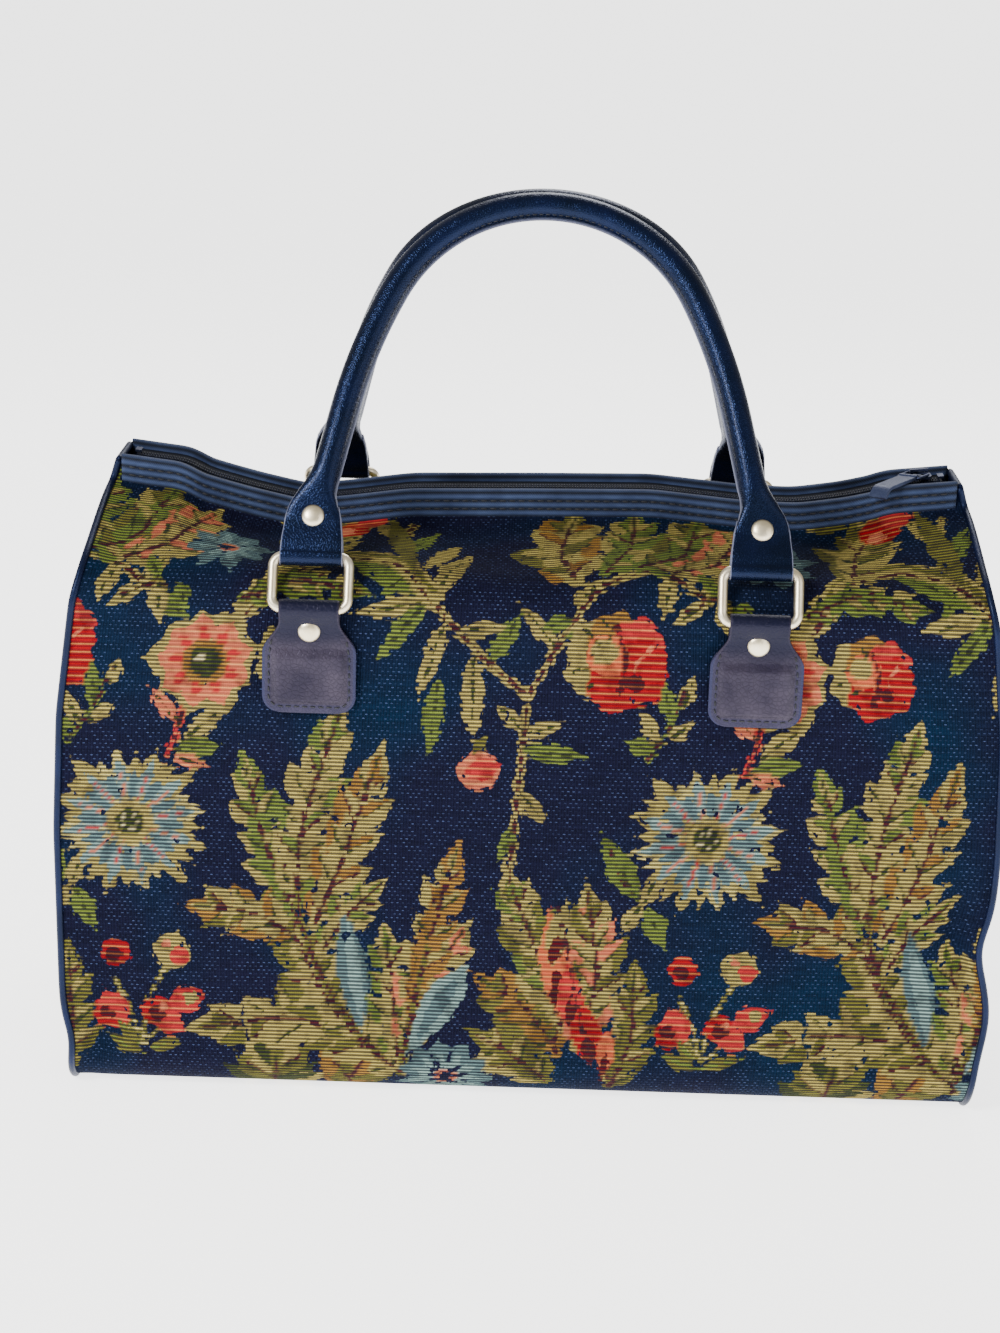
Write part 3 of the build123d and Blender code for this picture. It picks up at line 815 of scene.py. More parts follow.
def weavePattern(x, v):
    w = Weaver(x, v)
    # bottom fans and the big leaves that rise from them
    frond(w, [(-128, -16), (-126, 4), (-124, 20)], 25, 4, ("olive", "straw", "moss"), 46)
    frond(w, [(-90, -6), (-86, 10), (-80, 22)], 22, 3, ("olive", "gold"), 40)
    frond(w, [(-60, 14), (-88, 38), (-122, 44), (-154, 38)], 21, 6, ("straw", "olive", "straw"), 42)
    frond(w, [(-84, 36), (-102, 60), (-112, 84)], 20, 4, ("straw", "olive"), 52)
    frond(w, [(-110, 84), (-132, 100), (-156, 102)], 18, 4, ("straw", "olive", "gold"), 42)
    frond(w, [(-114, 100), (-128, 134), (-138, 172)], 17, 5, ("leaf", "straw"), 36)
    frond(w, [(-114, 108), (-110, 150), (-96, 196)], 19, 6, ("straw", "leaf", "straw"), 34)
    frond(w, [(-104, 94), (-90, 130), (-76, 176)], 19, 5, ("straw", "gold"), 34)
    frond(w, [(-100, 80), (-88, 100), (-76, 112)], 14, 3, ("straw", "leaf"), 40)
    w.at(-84, 70, 50)
    w.lay(w.petal((-80, 36), (-90, 102), 8, 0.5), "mist")
    w.trace(w.petal((-80, 42), (-88, 96), 4, 0.5), "sky")
    veinedStem(w, [(-60, 12), (-84, 38), (-102, 68), (-113, 100), (-110, 140)], 4.0, 1.8)
    # the second leaf
    frond(w, [(-62, 22), (-64, 56), (-68, 84)], 17, 4, ("straw", "leaf"), 36)
    frond(w, [(-58, 30), (-48, 66), (-34, 88)], 18, 4, ("straw", "pink"), 40)
    frond(w, [(-56, 50), (-46, 92), (-36, 130)], 16, 5, ("gold", "straw"), 32)
    w.at(-46, 50, 40)
    w.lay(w.petal((-60, 22), (-28, 76), 9, 0.6), "sky")
    w.trace(w.petal((-56, 28), (-32, 70), 4, 0.6), "mist")
    veinedStem(w, [(-62, 10), (-56, 44), (-48, 84)], 3.2, 1.4)
    # the tall bud with its coral core
    frond(w, [(14, 12), (-2, 26), (-16, 34)], 18, 3, ("olive", "straw"), 44)
    frond(w, [(18, 30), (2, 54), (-14, 64)], 19, 4, ("gold", "olive"), 42)
    frond(w, [(20, 44), (8, 80), (-6, 116)], 19, 6, ("straw", "leaf", "olive"), 34)
    frond(w, [(28, 34), (38, 72), (32, 108)], 19, 6, ("straw", "olive", "pink"), 36)
    frond(w, [(46, 8), (56, 38), (56, 70)], 16, 5, ("olive", "straw"), 34)
    w.at(24, 70, 70)
    for base, tip, half, colour in (((20, 46), (12, 108), 8, "coral"), ((26, 40), (22, 78), 7, "rose"),
                                    ((36, 22), (30, 58), 8, "red"), ((42, 16), (44, 44), 5, "coral"),
                                    ((14, 76), (20, 112), 6, "straw")):
        w.lay(w.petal(base, tip, half, 0.5), colour)
        w.trace(w.petal(base, ((base[0] + tip[0]) / 2, (base[1] + tip[1]) / 2), half * 0.5, 0.5), "wine")
    w.trace(w.stroke(bent([(42, 10), (30, 44), (22, 84), (14, 118)]), 1.6), "vein")
    # stem that forks under the top leaves
    fork = (-2, 216)
    sprig(w, [(-8, 122), (-6, 160), fork], [((-6, 168), (10, 152), 4), ((-5, 190), (28, 186), 4.5),
          ((-4, 196), (16, 204), 4), ((-6, 150), (-14, 132), 4), ((-4, 200), (-18, 212), 4)],
          "straw", width=4.4)
    sprig(w, [fork, (-26, 236), (-52, 262), (-72, 300), (-66, 338)],
          [((-52, 262), (-92, 254), 5), ((-54, 264), (-104, 292), 7), ((-50, 264), (-34, 300), 6),
           ((-54, 262), (-78, 232), 5), ((-44, 254), (-56, 214), 5), ((-46, 226), (-50, 182), 5),
           ((-30, 238), (-28, 192), 6), ((-22, 232), (-6, 258), 5), ((-38, 248), (-14, 250), 4),
           ((-70, 292), (-52, 326), 5), ((-68, 310), (-88, 338), 6), ((-62, 280), (-78, 262), 4)],
          "straw", width=5.0)
    sprig(w, [fork, (14, 246), (34, 274), (64, 282), (92, 262)],
          [((12, 240), (-8, 262), 4), ((14, 246), (36, 250), 3.5), ((36, 276), (18, 262), 4),
           ((64, 282), (84, 300), 5), ((70, 280), (64, 256), 5), ((92, 262), (112, 250), 5),
           ((84, 268), (96, 284), 4), ((20, 256), (4, 250), 4)], "straw", width=4.4)
    # the broad arch that meets the forked stem
    w.at(-98, 280, 62)
    arch = bent([(-144, 256), (-122, 282), (-96, 295), (-70, 286), (-52, 264)])
    w.lay(w.stroke(arch, 12.0), "straw")
    w.trace(w.stroke(arch + (0, 3.2), 3.6), "olive")
    w.trace(w.stroke(arch - (0, 3.6), 1.4), "vein")
    w.lay(w.petal((-62, 274), (-80, 345), 6.5, 0.5), "olive")
    w.lay(w.petal((-58, 276), (-40, 312), 5.0, 0.55), "straw")
    # top fans
    frond(w, [(20, 276), (12, 300), (18, 330)], 25, 4, ("straw", "gold", "olive"), 46)
    frond(w, [(36, 280), (50, 306), (52, 334)], 20, 4, ("leaf", "straw"), 42)
    frond(w, [(-120, 282), (-116, 308), (-102, 334)], 22, 4, ("straw", "olive"), 46)
    w.at(-100, 328, 34)
    w.lay(w.disc((-100, 330), 11), "red")
    w.lay(w.disc((-90, 338), 8), "rose")
    w.trace(w.disc((-102, 326), 5), "pink")
    frond(w, [(-146, 260), (-120, 272), (-92, 266)], 13, 4, ("leaf", "straw"), 36)
    frond(w, [(-230, 284), (-206, 300), (-198, 332)], 23, 4, ("leaf", "straw", "olive"), 44)
    frond(w, [(-212, 282), (-190, 292), (-176, 326)], 20, 4, ("straw", "pink"), 42)
    w.at(-158, 300, 40)
    aster(w, (-160, 296), 8, 0.2, 0, 23, 17, (5.5, 2.4))
    w.trace(w.disc((-160, 296), 5), "pink")
    sprig(w, [(-208, 260), (-190, 268), (-176, 262)],
          [((-190, 268), (-186, 248), 5), ((-190, 268), (-200, 284), 4), ((-196, 266), (-214, 254), 4),
           ((-182, 266), (-172, 256), 4)], "olive")
    # flowers over the leaves
    daisy(w, (-195, 145), 41)
    sprig(w, [(-170, 206), (-174, 190), (-178, 178)],
          [((-172, 196), (-188, 214), 4), ((-170, 188), (-148, 206), 5), ((-174, 182), (-150, 186), 6),
           ((-176, 180), (-158, 174), 4)], "rose", ("pink", "straw", "leaf"), 3.4)
    openFlower(w, (-162, 228), 27)
    rose(w, (42, 235), 23)
    rose(w, (-115, 231), 19)
    sprig(w, [(-226, 186), (-214, 204), (-206, 226)],
          [((-220, 194), (-230, 212), 4), ((-214, 204), (-218, 226), 4), ((-216, 196), (-204, 206), 4),
           ((-222, 190), (-236, 196), 5), ((-208, 214), (-204, 228), 4)], "leaf", ("straw", "leaf"))
    sprig(w, [(40, 144), (44, 128), (56, 112)],
          [((56, 112), (36, 148), 7), ((58, 112), (48, 96), 4), ((60, 110), (70, 88), 6),
           ((58, 110), (64, 126), 4)],
          "leaf", ("leaf", "straw"))
    w.at(-25, 178, 20)
    w.lay(w.disc((-25, 178), 10), "pink")
    w.lay(w.petal((-32, 176), (-14, 182), 6, 0.5), "rose")
    w.trace(w.disc((-22, 176), 4), "rose")
    w.lay(w.petal((-28, 186), (-22, 196), 3, 0.5), "olive")
    berries(w, (-192, 26))
    # the small grey-blue flower at the foot
    w.at(-38, 12, 40)
    aster(w, (-38, 12), 11, 0, 4, np.array([25, 22]), np.array([18, 16]), (4.6, 2.2))
    w.trace(w.disc((-38, 12), 6), "pink")
    w.trace(w.disc((-38, 12), 3), "coral")
    return w


def dyeCloth(thing, x, v):
    w = weavePattern(x.ravel(), v.ravel())
    setValue(thing, "edge", w.edge)
    setValue(thing, "fineEdge", w.fineEdge)
    for dyeName, warmthName, dye in (("dye", "warmth", w.dye), ("fineDye", "fineWarmth", w.fineDye)):
        setValue(thing, dyeName, dye)
        # how red a dye is: the gaps between red floats stay red
        setValue(thing, warmthName, np.clip((dye[:, 0] - 2.4 * dye[:, 1]) * 6, 0, 1))
    setUv(thing, "weave", np.stack([x.ravel(), v.ravel()], 1) * mm + 1.0)


def makeCloth(side, name):
    pitch = bag["clothPitch"]
    columns = int(2 * bag["halfWidth"] / pitch)
    rows = int(sectionLength / pitch)
    u = np.linspace(-bag["halfWidth"], bag["halfWidth"], columns)
    along = np.linspace(0, sectionLength, rows)
    along, u = np.meshgrid(along, u, indexing="ij")
    faces = flipped(gridFaces(rows, columns), side > 0)
    cloth = makeMesh(name, bodySurface(u, along, side), faces, finishes["tapestry"])
    across = u if side < 0 else pattern["backShift"] - u
    dyeCloth(cloth, across, along - heightStart)
    finishPiece(cloth, "bag", "tapestry", "body_panel")


makeCloth(-1, "cloth_front")
makeCloth(1, "cloth_back")
print("body cloth made")


ends = {
    "lift": 4, "belly": 3.0, "bellyStart": (5, 60), "bellyStop": (230, 300),
    "fold": 2.5, "foldLength": 38, "foldSlant": 2.2, "dent": 2, "dentHeight": 120, "dentHalf": 40,
}


def seamLine(hand, along, side=-1, inset=0.0):
    # the seam round one end, from the base up to the rim
    return bodySurface(np.full(len(along), hand * bag["halfWidth"]), along, side, inset)


def makeEnd(hand, name):
    along = np.arange(wallStart + ends["lift"], sectionLength, bag["clothPitch"])
    edge = seamLine(hand, along)
    count = int(2 * bag["halfDepth"] / bag["clothPitch"])
    share = np.linspace(1, -1, count)
    points = (edge[:, None, :] * np.array([1, 0, 1])
              + edge[:, None, :] * share[None, :, None] * np.array([0, 1, 0]))
    middle = 1 - share[None, :] ** 2
    height = edge[:, None, 2]
    belly = middle * smoothStep(height, *ends["bellyStart"]) * (1 - smoothStep(height, *ends["bellyStop"]))
    fold = ends["fold"] * np.sin(height / ends["foldLength"] + share[None, :] * ends["foldSlant"])
    fold = fold - ends["dent"] * bell(height, ends["dentHeight"], ends["dentHalf"])
    points[..., 0] -= hand * belly * (ends["belly"] + fold)
    faces = flipped(gridFaces(len(along), count), hand > 0)
    panel = makeMesh(name, points, faces, finishes["tapestry"])
    x = points[..., 1] * -hand + pattern["endShift"][hand]
    v = np.broadcast_to(along[:, None] - heightStart, x.shape)
    return panel, x, v


for hand, word in ((-1, "left"), (1, "right")):
    panel, x, v = makeEnd(hand, f"cloth_end_{word}")
    dyeCloth(panel, x, v)
    finishPiece(panel, "bag", "tapestry", f"end_panel_{word}")


def tube(points, radius, sides):
    # rings of points round a line
    points = np.asarray(points, float)
    tangent = np.gradient(points, axis=0)
    tangent /= np.linalg.norm(tangent, axis=1)[:, None]
    guide = np.array([1.0, 0.0, 0.0])
    first = np.cross(tangent, guide)
    first /= np.linalg.norm(first, axis=1)[:, None]
    second = np.cross(tangent, first)
    angle = np.linspace(0, 2 * math.pi, sides, endpoint=False)
    ring = first[:, None] * np.cos(angle)[None, :, None] + second[:, None] * np.sin(angle)[None, :, None]
    return points[:, None] + radius * ring


piping = {"radius": 1.8, "sides": 12, "out": 0.6, "pitch": 2, "topSteps": 18, "clear": 0.1}
for hand, word in ((-1, "left"), (1, "right")):
    along = np.linspace(0, sectionLength - piping["radius"], int(sectionLength / piping["pitch"]))
    front, back = seamLine(hand, along), seamLine(hand, along, 1)
    share = np.linspace(0, 1, piping["topSteps"])[1:, None]
    line = np.concatenate([front[::-1], back[1:], back[-1] * (1 - share) + front[-1] * share])
    line[:, 0] += hand * piping["out"]
    line[:, 2] = np.maximum(line[:, 2], piping["radius"] + piping["clear"])
    rings = tube(line, piping["radius"], piping["sides"])
    cord = makeMesh(f"piping_cord_{word}", rings, ringFaces(len(line), piping["sides"]), finishes["piping"])
    setValue(cord, "edgeAndPaintedShade", np.zeros(rings.shape[0] * rings.shape[1]))
    finishPiece(cord, "bag", "piping", f"piping_{word}")


lining = {
    "pitch": 6.0, "lastRow": 14, "hem": 12, "endColumns": 34, "endBelly": 6, "bellyStart": (8, 60),
    "endHeight": 285,
}


def makeLining():
    parts, faces = [], []
    inset, pitch, columns = bag["liningInset"], lining["pitch"], lining["endColumns"]
    u = np.arange(-bag["halfWidth"], bag["halfWidth"] + pitch / 2, pitch)
    along = np.append(np.arange(0, sectionLength - lining["lastRow"], pitch), sectionLength - lining["hem"])
    grid, across = np.meshgrid(along, u, indexing="ij")

    def addPart(points, rows, columns, flip):
        start = sum(len(part) for part in parts)
        faces.extend(flipped(gridFaces(rows, columns, start=start), flip))
        parts.append(points.reshape(-1, 3))

    for side in (-1, 1):
        addPart(bodySurface(across, grid, side, inset), len(along), len(u), side < 0)
    for hand in (-1, 1):
        edge = seamLine(hand, along, -1, inset)[along > wallStart]
        share = np.linspace(1, -1, columns)
        flat = np.ones(columns)
        panel = np.stack([np.outer(edge[:, 0], flat), np.outer(edge[:, 1], share),
                          np.outer(edge[:, 2], flat)], -1)
        rise = smoothStep(edge[:, None, 2], *lining["bellyStart"])
        panel[..., 0] -= hand * lining["endBelly"] * (1 - share[None] ** 2) * rise
        addPart(panel, len(edge), columns, hand < 0)
    cloth = makeMesh("lining_cloth", np.concatenate(parts), faces, finishes["lining"])
    wrapArea = 2 * bag["halfWidth"] * 2 * (sectionLength - lining["hem"])
    flatArea = (wrapArea + 2 * 2 * bag["halfDepth"] * lining["endHeight"]) * mm**2
    finishPiece(cloth, "bag", "lining", "lining")


makeLining()
print("ends, piping and lining made")


# the binding stops just short of the ends of the mouth
bindingReach = float(seamLine(1, np.array([sectionLength]))[0, 0]) - binding["endGap"]
zipForm = {
    "tapeReach": 204, "tapeStep": 4.0, "tapeSection": [(14.4, -2.4), (14.4, -3.2), (0.7, -3.2), (0.7, -2.4)],
    "rowReach": 203, "rowStep": 3.0, "coilOut": 1.95, "coilDrop": 1.4, "coilPitch": 1.35,
}


def faceOut(share):
    # how far the ridged face stands out at a share of its height
    return binding["outer"] - binding["ridge"] * math.cos(2 * math.pi * binding["ridges"] * share)


def bindingProfile():
    # the folded tape in section: outer face, fold, inner face and back up inside, as (out, up)
    height, foldOut, foldUp = binding["height"], binding["foldOut"], binding["foldUp"]
    face = [(faceOut(k), -height + height * k) for k in np.linspace(0, 1, 22)]
    fold = [(foldOut * math.cos(a) + binding["outer"] - foldOut, foldUp * math.sin(a))
            for a in np.linspace(0.3, 1.4, 5)]
    over = [(-foldUp + foldOut * math.cos(a), foldUp * math.sin(a)) for a in np.linspace(1.7, 2.9, 5)]
    inside = [(-2.6, -height + 1.5), (-1.6, -height + 1.5), (-1.4, -1.2), (0.6, -1.2), (0.9, -height)]
    return np.array(face + fold + over + inside)


def makeBinding(side, word):
    x = np.linspace(-bindingReach, bindingReach, int(2 * bindingReach / binding["step"]))
    profile = bindingProfile()
    taper = smoothStep(bindingReach - abs(x), -6, 10)
    out = bag["mouthHalf"] + profile[None, :, 0] * (0.55 + 0.45 * taper[:, None])
    along = np.broadcast_to(x[:, None], out.shape)
    points = np.stack([along, side * out, rimZ(x)[:, None] + profile[None, :, 1]], -1)
    faces = flipped(ringFaces(len(x), len(profile)), side > 0)
    tape = makeMesh(f"binding_tape_{word}", points, faces, finishes["binding"])
    lower = np.clip(1 - (profile[:, 1] + binding["height"]) / 0.9, 0, 1)
    setValue(tape, "edgeAndPaintedShade", np.broadcast_to(lower[None], out.shape).ravel().copy())
    strip = np.stack([along, np.broadcast_to(profile[None, :, 1], out.shape)], -1)
    setUv(tape, "strip", strip.reshape(-1, 2) * mm + 1.0)
    finishPiece(tape, "bag", "binding", f"binding_{word}")


def makeZipTape(side, word):
    flat = np.array(zipForm["tapeSection"])
    x = np.arange(-zipForm["tapeReach"], zipForm["tapeReach"] + 1, zipForm["tapeStep"])
    size = (len(x), len(flat))
    points = np.stack([np.broadcast_to(x[:, None], size), np.broadcast_to(side * flat[None, :, 0], size),
                       rimZ(x)[:, None] + flat[None, :, 1]], -1)
    faces = flipped(ringFaces(*size), side > 0)
    tape = makeMesh(f"tape_{word}", points, faces, finishes["zipTape"], smooth=False)
    finishPiece(tape, "bag", "zip_tape", f"zip_tape_{word}")


for side, word in ((-1, "front"), (1, "back")):
    makeBinding(side, word)
    makeZipTape(side, word)


def repeatTree(name, alongLine):
    # sets one shape at points, or at even steps along lines, turned to the points' own facing
    tree = bpy.data.node_groups.new(name, "GeometryNodeTree")
    tree.interface.new_socket("Geometry", in_out="INPUT", socket_type="NodeSocketGeometry")
    for label, kind in (("Shape", "NodeSocketObject"), ("Pitch", "NodeSocketFloat"),
                        ("Size", "NodeSocketVector"), ("Finish", "NodeSocketMaterial")):
        tree.interface.new_socket(label, in_out="INPUT", socket_type=kind)
    tree.interface.new_socket("Geometry", in_out="OUTPUT", socket_type="NodeSocketGeometry")
    make, link = tree.nodes.new, tree.links.new
    given, result = make("NodeGroupInput"), make("NodeGroupOutput")
    facing = make("GeometryNodeInputNamedAttribute")
    facing.data_type = "FLOAT_VECTOR"
    facing.inputs["Name"].default_value = "facing"
    rotation = make("FunctionNodeAlignRotationToVector")
    rotation.axis = "Z"
    link(facing.outputs["Attribute"], rotation.inputs["Vector"])
    source = given.outputs["Geometry"]
    if alongLine:
        curve, even = make("GeometryNodeMeshToCurve"), make("GeometryNodeResampleCurve")
        tangent = make("GeometryNodeInputTangent")
        even.mode = "LENGTH"
        link(source, curve.inputs["Mesh"])
        link(curve.outputs["Curve"], even.inputs["Curve"])
        link(given.outputs["Pitch"], even.inputs["Length"])
        source = even.outputs["Curve"]
        ahead = make("FunctionNodeAlignRotationToVector")
        ahead.axis = "X"
        ahead.pivot_axis = "Z"
        link(rotation.outputs[0], ahead.inputs["Rotation"])
        link(tangent.outputs[0], ahead.inputs["Vector"])
        rotation = ahead
    shape = make("GeometryNodeObjectInfo")
    link(given.outputs["Shape"], shape.inputs["Object"])
    place = make("GeometryNodeInstanceOnPoints")
    link(source, place.inputs["Points"])
    link(shape.outputs["Geometry"], place.inputs["Instance"])
    link(rotation.outputs[0], place.inputs["Rotation"])
    link(given.outputs["Size"], place.inputs["Scale"])
    real, finish = make("GeometryNodeRealizeInstances"), make("GeometryNodeSetMaterial")
    link(place.outputs[0], real.inputs[0])
    link(real.outputs[0], finish.inputs["Geometry"])
    link(given.outputs["Finish"], finish.inputs["Material"])
    link(finish.outputs[0], result.inputs[0])
    return tree


lineTree = repeatTree("alongLine", True)
pointTree = repeatTree("atPoints", False)


def repeated(name, lines, facings, shape, pitch, size, material, alongLine=True):
    # builds the carrier, runs the tree on it and keeps the result as a plain mesh
    points, edges, start = [], [], 0
    for line in lines:
        points.append(np.asarray(line, float))
        if alongLine:
            edges += [(start + k, start + k + 1) for k in range(len(line) - 1)]
        start += len(line)
    carrier = bpy.data.meshes.new(name + "_carrier")
    carrier.from_pydata((np.concatenate(points) * mm).tolist(), edges, [])
    attribute = carrier.attributes.new("facing", "FLOAT_VECTOR", "POINT")
    turns = np.concatenate([np.asarray(f, float) for f in facings])
    attribute.data.foreach_set("vector", turns.astype(np.float32).ravel())
    helper = bpy.data.objects.new(name + "_carrier", carrier)
    bpy.context.scene.collection.objects.link(helper)
    modifier = helper.modifiers.new("repeat", "NODES")
    tree = lineTree if alongLine else pointTree
    values = {"Shape": shape, "Pitch": pitch * mm, "Size": size, "Finish": material}
    identifiers = {item.name: item.identifier for item in tree.interface.items_tree if item.in_out == "INPUT"}
    modifier.node_group = tree
    for label, value in values.items():
        modifier[identifiers[label]] = value
    bpy.context.view_layer.update()
    graph = bpy.context.evaluated_depsgraph_get()
    mesh = bpy.data.meshes.new_from_object(helper.evaluated_get(graph))
    thing = bpy.data.objects.new(name, mesh)
    bpy.context.scene.collection.objects.link(thing)
    bpy.data.objects.remove(helper)
    mesh.polygons.foreach_set("use_smooth", [True] * len(mesh.polygons))
    return thing


def hiddenShape(name, points, faces):
    mesh = bpy.data.meshes.new(name)
    mesh.from_pydata((np.asarray(points, float) * mm).tolist(), [], faces)
    return bpy.data.objects.new(name, mesh)


def turned(profile, sides):
    # a shape turned round Z from (radius, height) points that start and end on the axis
    points, faces = [(0, 0, profile[0][1])], []
    rings = profile[1:-1]
    for radius, height in rings:
        points += [(radius * math.cos(a), radius * math.sin(a), height)
                   for a in np.linspace(0, 2 * math.pi, sides, endpoint=False)]
    points.append((0, 0, profile[-1][1]))
    for k in range(sides):
        m = (k + 1) % sides
        faces.append([0, 1 + m, 1 + k])
        for r in range(len(rings) - 1):
            a, b = 1 + r * sides, 1 + (r + 1) * sides
            faces.append([a + k, a + m, b + m, b + k])
        last = 1 + (len(rings) - 1) * sides
        faces.append([last + k, last + m, len(points) - 1])
    return points, faces


def stitchShape():
    # one sunk-ended stitch, one unit long in X, low in Z
    points, sides = [], 6
    for x, size, height in ((-0.5, 0.35, -0.25), (-0.36, 0.9, 0.12), (0.0, 1.0, 0.25),
                            (0.36, 0.9, 0.12), (0.5, 0.35, -0.25)):
        points += [(x, 0.5 * size * math.cos(a), height + 0.5 * size * math.sin(a))
                   for a in np.linspace(0, 2 * math.pi, sides, endpoint=False)]
    return hiddenShape("stitchShape", points, ringFaces(5, sides))


stitch = stitchShape()
# the domed cap and the hollow back of a rivet, as (radius, height)
capProfile = [(0, -0.8), (5.0, -0.8), (5.3, -0.2), (5.4, 0.25), (5.15, 0.8), (4.3, 1.45), (3.1, 1.95),
              (1.6, 2.2), (0, 2.28)]
backProfile = [(0, -0.6), (4.0, -0.6), (4.4, 0.1), (4.2, 0.8), (3.4, 1.15), (2.3, 1.1), (1.5, 0.6),
               (1.0, -0.1), (0, -0.2)]
rivetCap = hiddenShape("capShape", *turned(capProfile, 36))
rivetBack = hiddenShape("backShape", *turned(backProfile, 32))


def coilTooth():
    # one turn of the coil seen from above, with a dozen flat faces
    points, sides = [], 6
    for y, width, height in ((-1.3, 0.55, 0.35), (-1.0, 0.95, 0.75), (1.0, 0.95, 0.75), (1.35, 0.6, 0.4)):
        points += [(0.5 * width * math.cos(a), y, height * math.sin(a) * 0.8)
                   for a in np.linspace(0, 2 * math.pi, sides, endpoint=False)]
    return hiddenShape("toothShape", points, flipped(ringFaces(4, sides)))


tooth = coilTooth()


def makeRows(side, word):
    x = np.arange(-zipForm["rowReach"], zipForm["rowReach"] + 1, zipForm["rowStep"])
    line = np.stack([x, np.full(len(x), side * zipForm["coilOut"]), rimZ(x) - zipForm["coilDrop"]], 1)
    up = np.tile([0.0, 0.0, 1.0], (len(x), 1))
    coil = repeated(f"coil_{word}", [line], [up], tooth, zipForm["coilPitch"], (1.0, 1.0, 1.0),
                    finishes["zipCoil"])
    finishPiece(coil, "bag", "zip_coil", f"zip_coil_{word}")
    lines = []
    for height in binding["stitchRows"]:
        out = bag["mouthHalf"] + faceOut((height + binding["height"]) / binding["height"])
        lines.append(np.stack([x, np.full(len(x), side * out), rimZ(x) + height], 1))
    outward = np.tile([0.0, float(side), 0.0], (len(x), 1))
    rows = repeated(f"binding_stitches_{word}", lines, [outward] * len(lines), stitch,
                    binding["stitchPitch"], (binding["stitchLength"], 1.05, 0.8), finishes["thread"])
    finishPiece(rows, "bag", "binding")


def rivets(name, points, facings, shape, body, *replaced):
    things = repeated(name, [points], [facings], shape, 1, (1, 1, 1), finishes["paleGold"], False)
    finishPiece(things, body, "pale_gold", *replaced)


for side, word in ((-1, "front"), (1, "back")):
    makeRows(side, word)
print("zip and binding made")


def sweepStrip(name, line, side, halves, thick, power, material, sides=40, raised=None, pale=None):
    # a strip or roll: superellipse sections whose half width, half thickness and squareness vary
    line = np.asarray(line, float)
    tangent = np.gradient(line, axis=0)
    tangent /= np.linalg.norm(tangent, axis=1)[:, None]
    across = side - (side * tangent).sum(1)[:, None] * tangent
    across /= np.linalg.norm(across, axis=1)[:, None]
    normal = np.cross(across, tangent)
    angle = np.linspace(0, 2 * math.pi, sides, endpoint=False)
    c, s = np.cos(angle), np.sin(angle)
    share = 2 / np.asarray(power, float)[:, None]
    a = np.sign(c) * abs(c) ** share
    b = np.sign(s) * abs(s) ** share
    wide = np.asarray(halves, float)[:, None] * a
    deep = np.asarray(thick, float)[:, None] * b
    if raised is not None:
        wide, deep = raised(wide, deep, a, b)
    points = line[:, None] + across[:, None] * wide[..., None] + normal[:, None] * deep[..., None]
    thing = makeMesh(name, points, ringFaces(len(line), sides), material)
    setValue(thing, "edgeAndPaintedShade", (pale(a, b) if pale else np.zeros_like(a)).ravel())
    return thing


def joined(name, things):
    # several meshes of one piece made into one
    bpy.ops.object.select_all(action="DESELECT")
    for thing in things:
        thing.select_set(True)
    bpy.context.view_layer.objects.active = things[0]
    bpy.ops.object.join()
    things[0].name = name
    return things[0]


ringSwing = {word: Vector(joints[f"ring_{word}_left_swing"]["pos_m"]) / mm for word in ("front", "back")}
handleSwing = {word: Vector(joints[f"handle_{word}_swing"]["pos_m"]) / mm for word in ("front", "back")}
fittingX = -ringSwing["front"].x
tab = {
    "half": 22.5, "neck": 14.4, "corner": 8.5, "bodyTop": 30, "rise": 52, "barOut": 4.5, "front": 4.4,
    "border": 4.6, "pad": 1.7, "padTop": 31, "padEdge": 2.4, "sag": 0.25, "rivetUp": 41, "foldRadius": 3.75,
    # the strap's two layers: how far out the face lies, its half thickness and where the backing ends
    "faceOut": 3.3, "faceHalf": 1.1, "foldHalf": 0.85, "backOut": 1.1, "backHalf": 1.05, "backTop": 38,
    # how square the section is, and the heights over which painted shade darkens the tab towards its fold
    "square": 7.0, "foldShadeStart": 31, "foldShadeEnd": 41,
    "stitchIn": 3.2, "stitchPitch": 3.9, "stitchLength": 2.7, "sewnTop": 35,
}


def tabFrame(word, hand):
    # the tab's own axes: its bottom middle on the wall, up the wall and out of it
    side = -1 if word == "front" else 1
    lean = math.atan2(bag["shoulderIn"], bag["shoulderHeight"])
    up = np.array([0, -side * math.sin(lean), math.cos(lean)])
    out = np.array([0, side * math.cos(lean), math.sin(lean)])
    bar = np.array(ringSwing[word])
    foot = np.array([hand * fittingX, bar[1], bar[2]]) - up * tab["rise"] - out * tab["barOut"]
    return foot, up, out, side


def tabHalf(up):
    # half of the tab's width at a height
    corner = tab["corner"]
    arc = np.sqrt(np.clip(corner**2 - (corner - up) ** 2, 0, None))
    body = np.where(up < corner, tab["half"] - corner + arc, tab["half"])
    narrow = smoothStep(up, tab["bodyTop"], tab["rise"] - 6)
    return body + (tab["neck"] - tab["half"]) * narrow


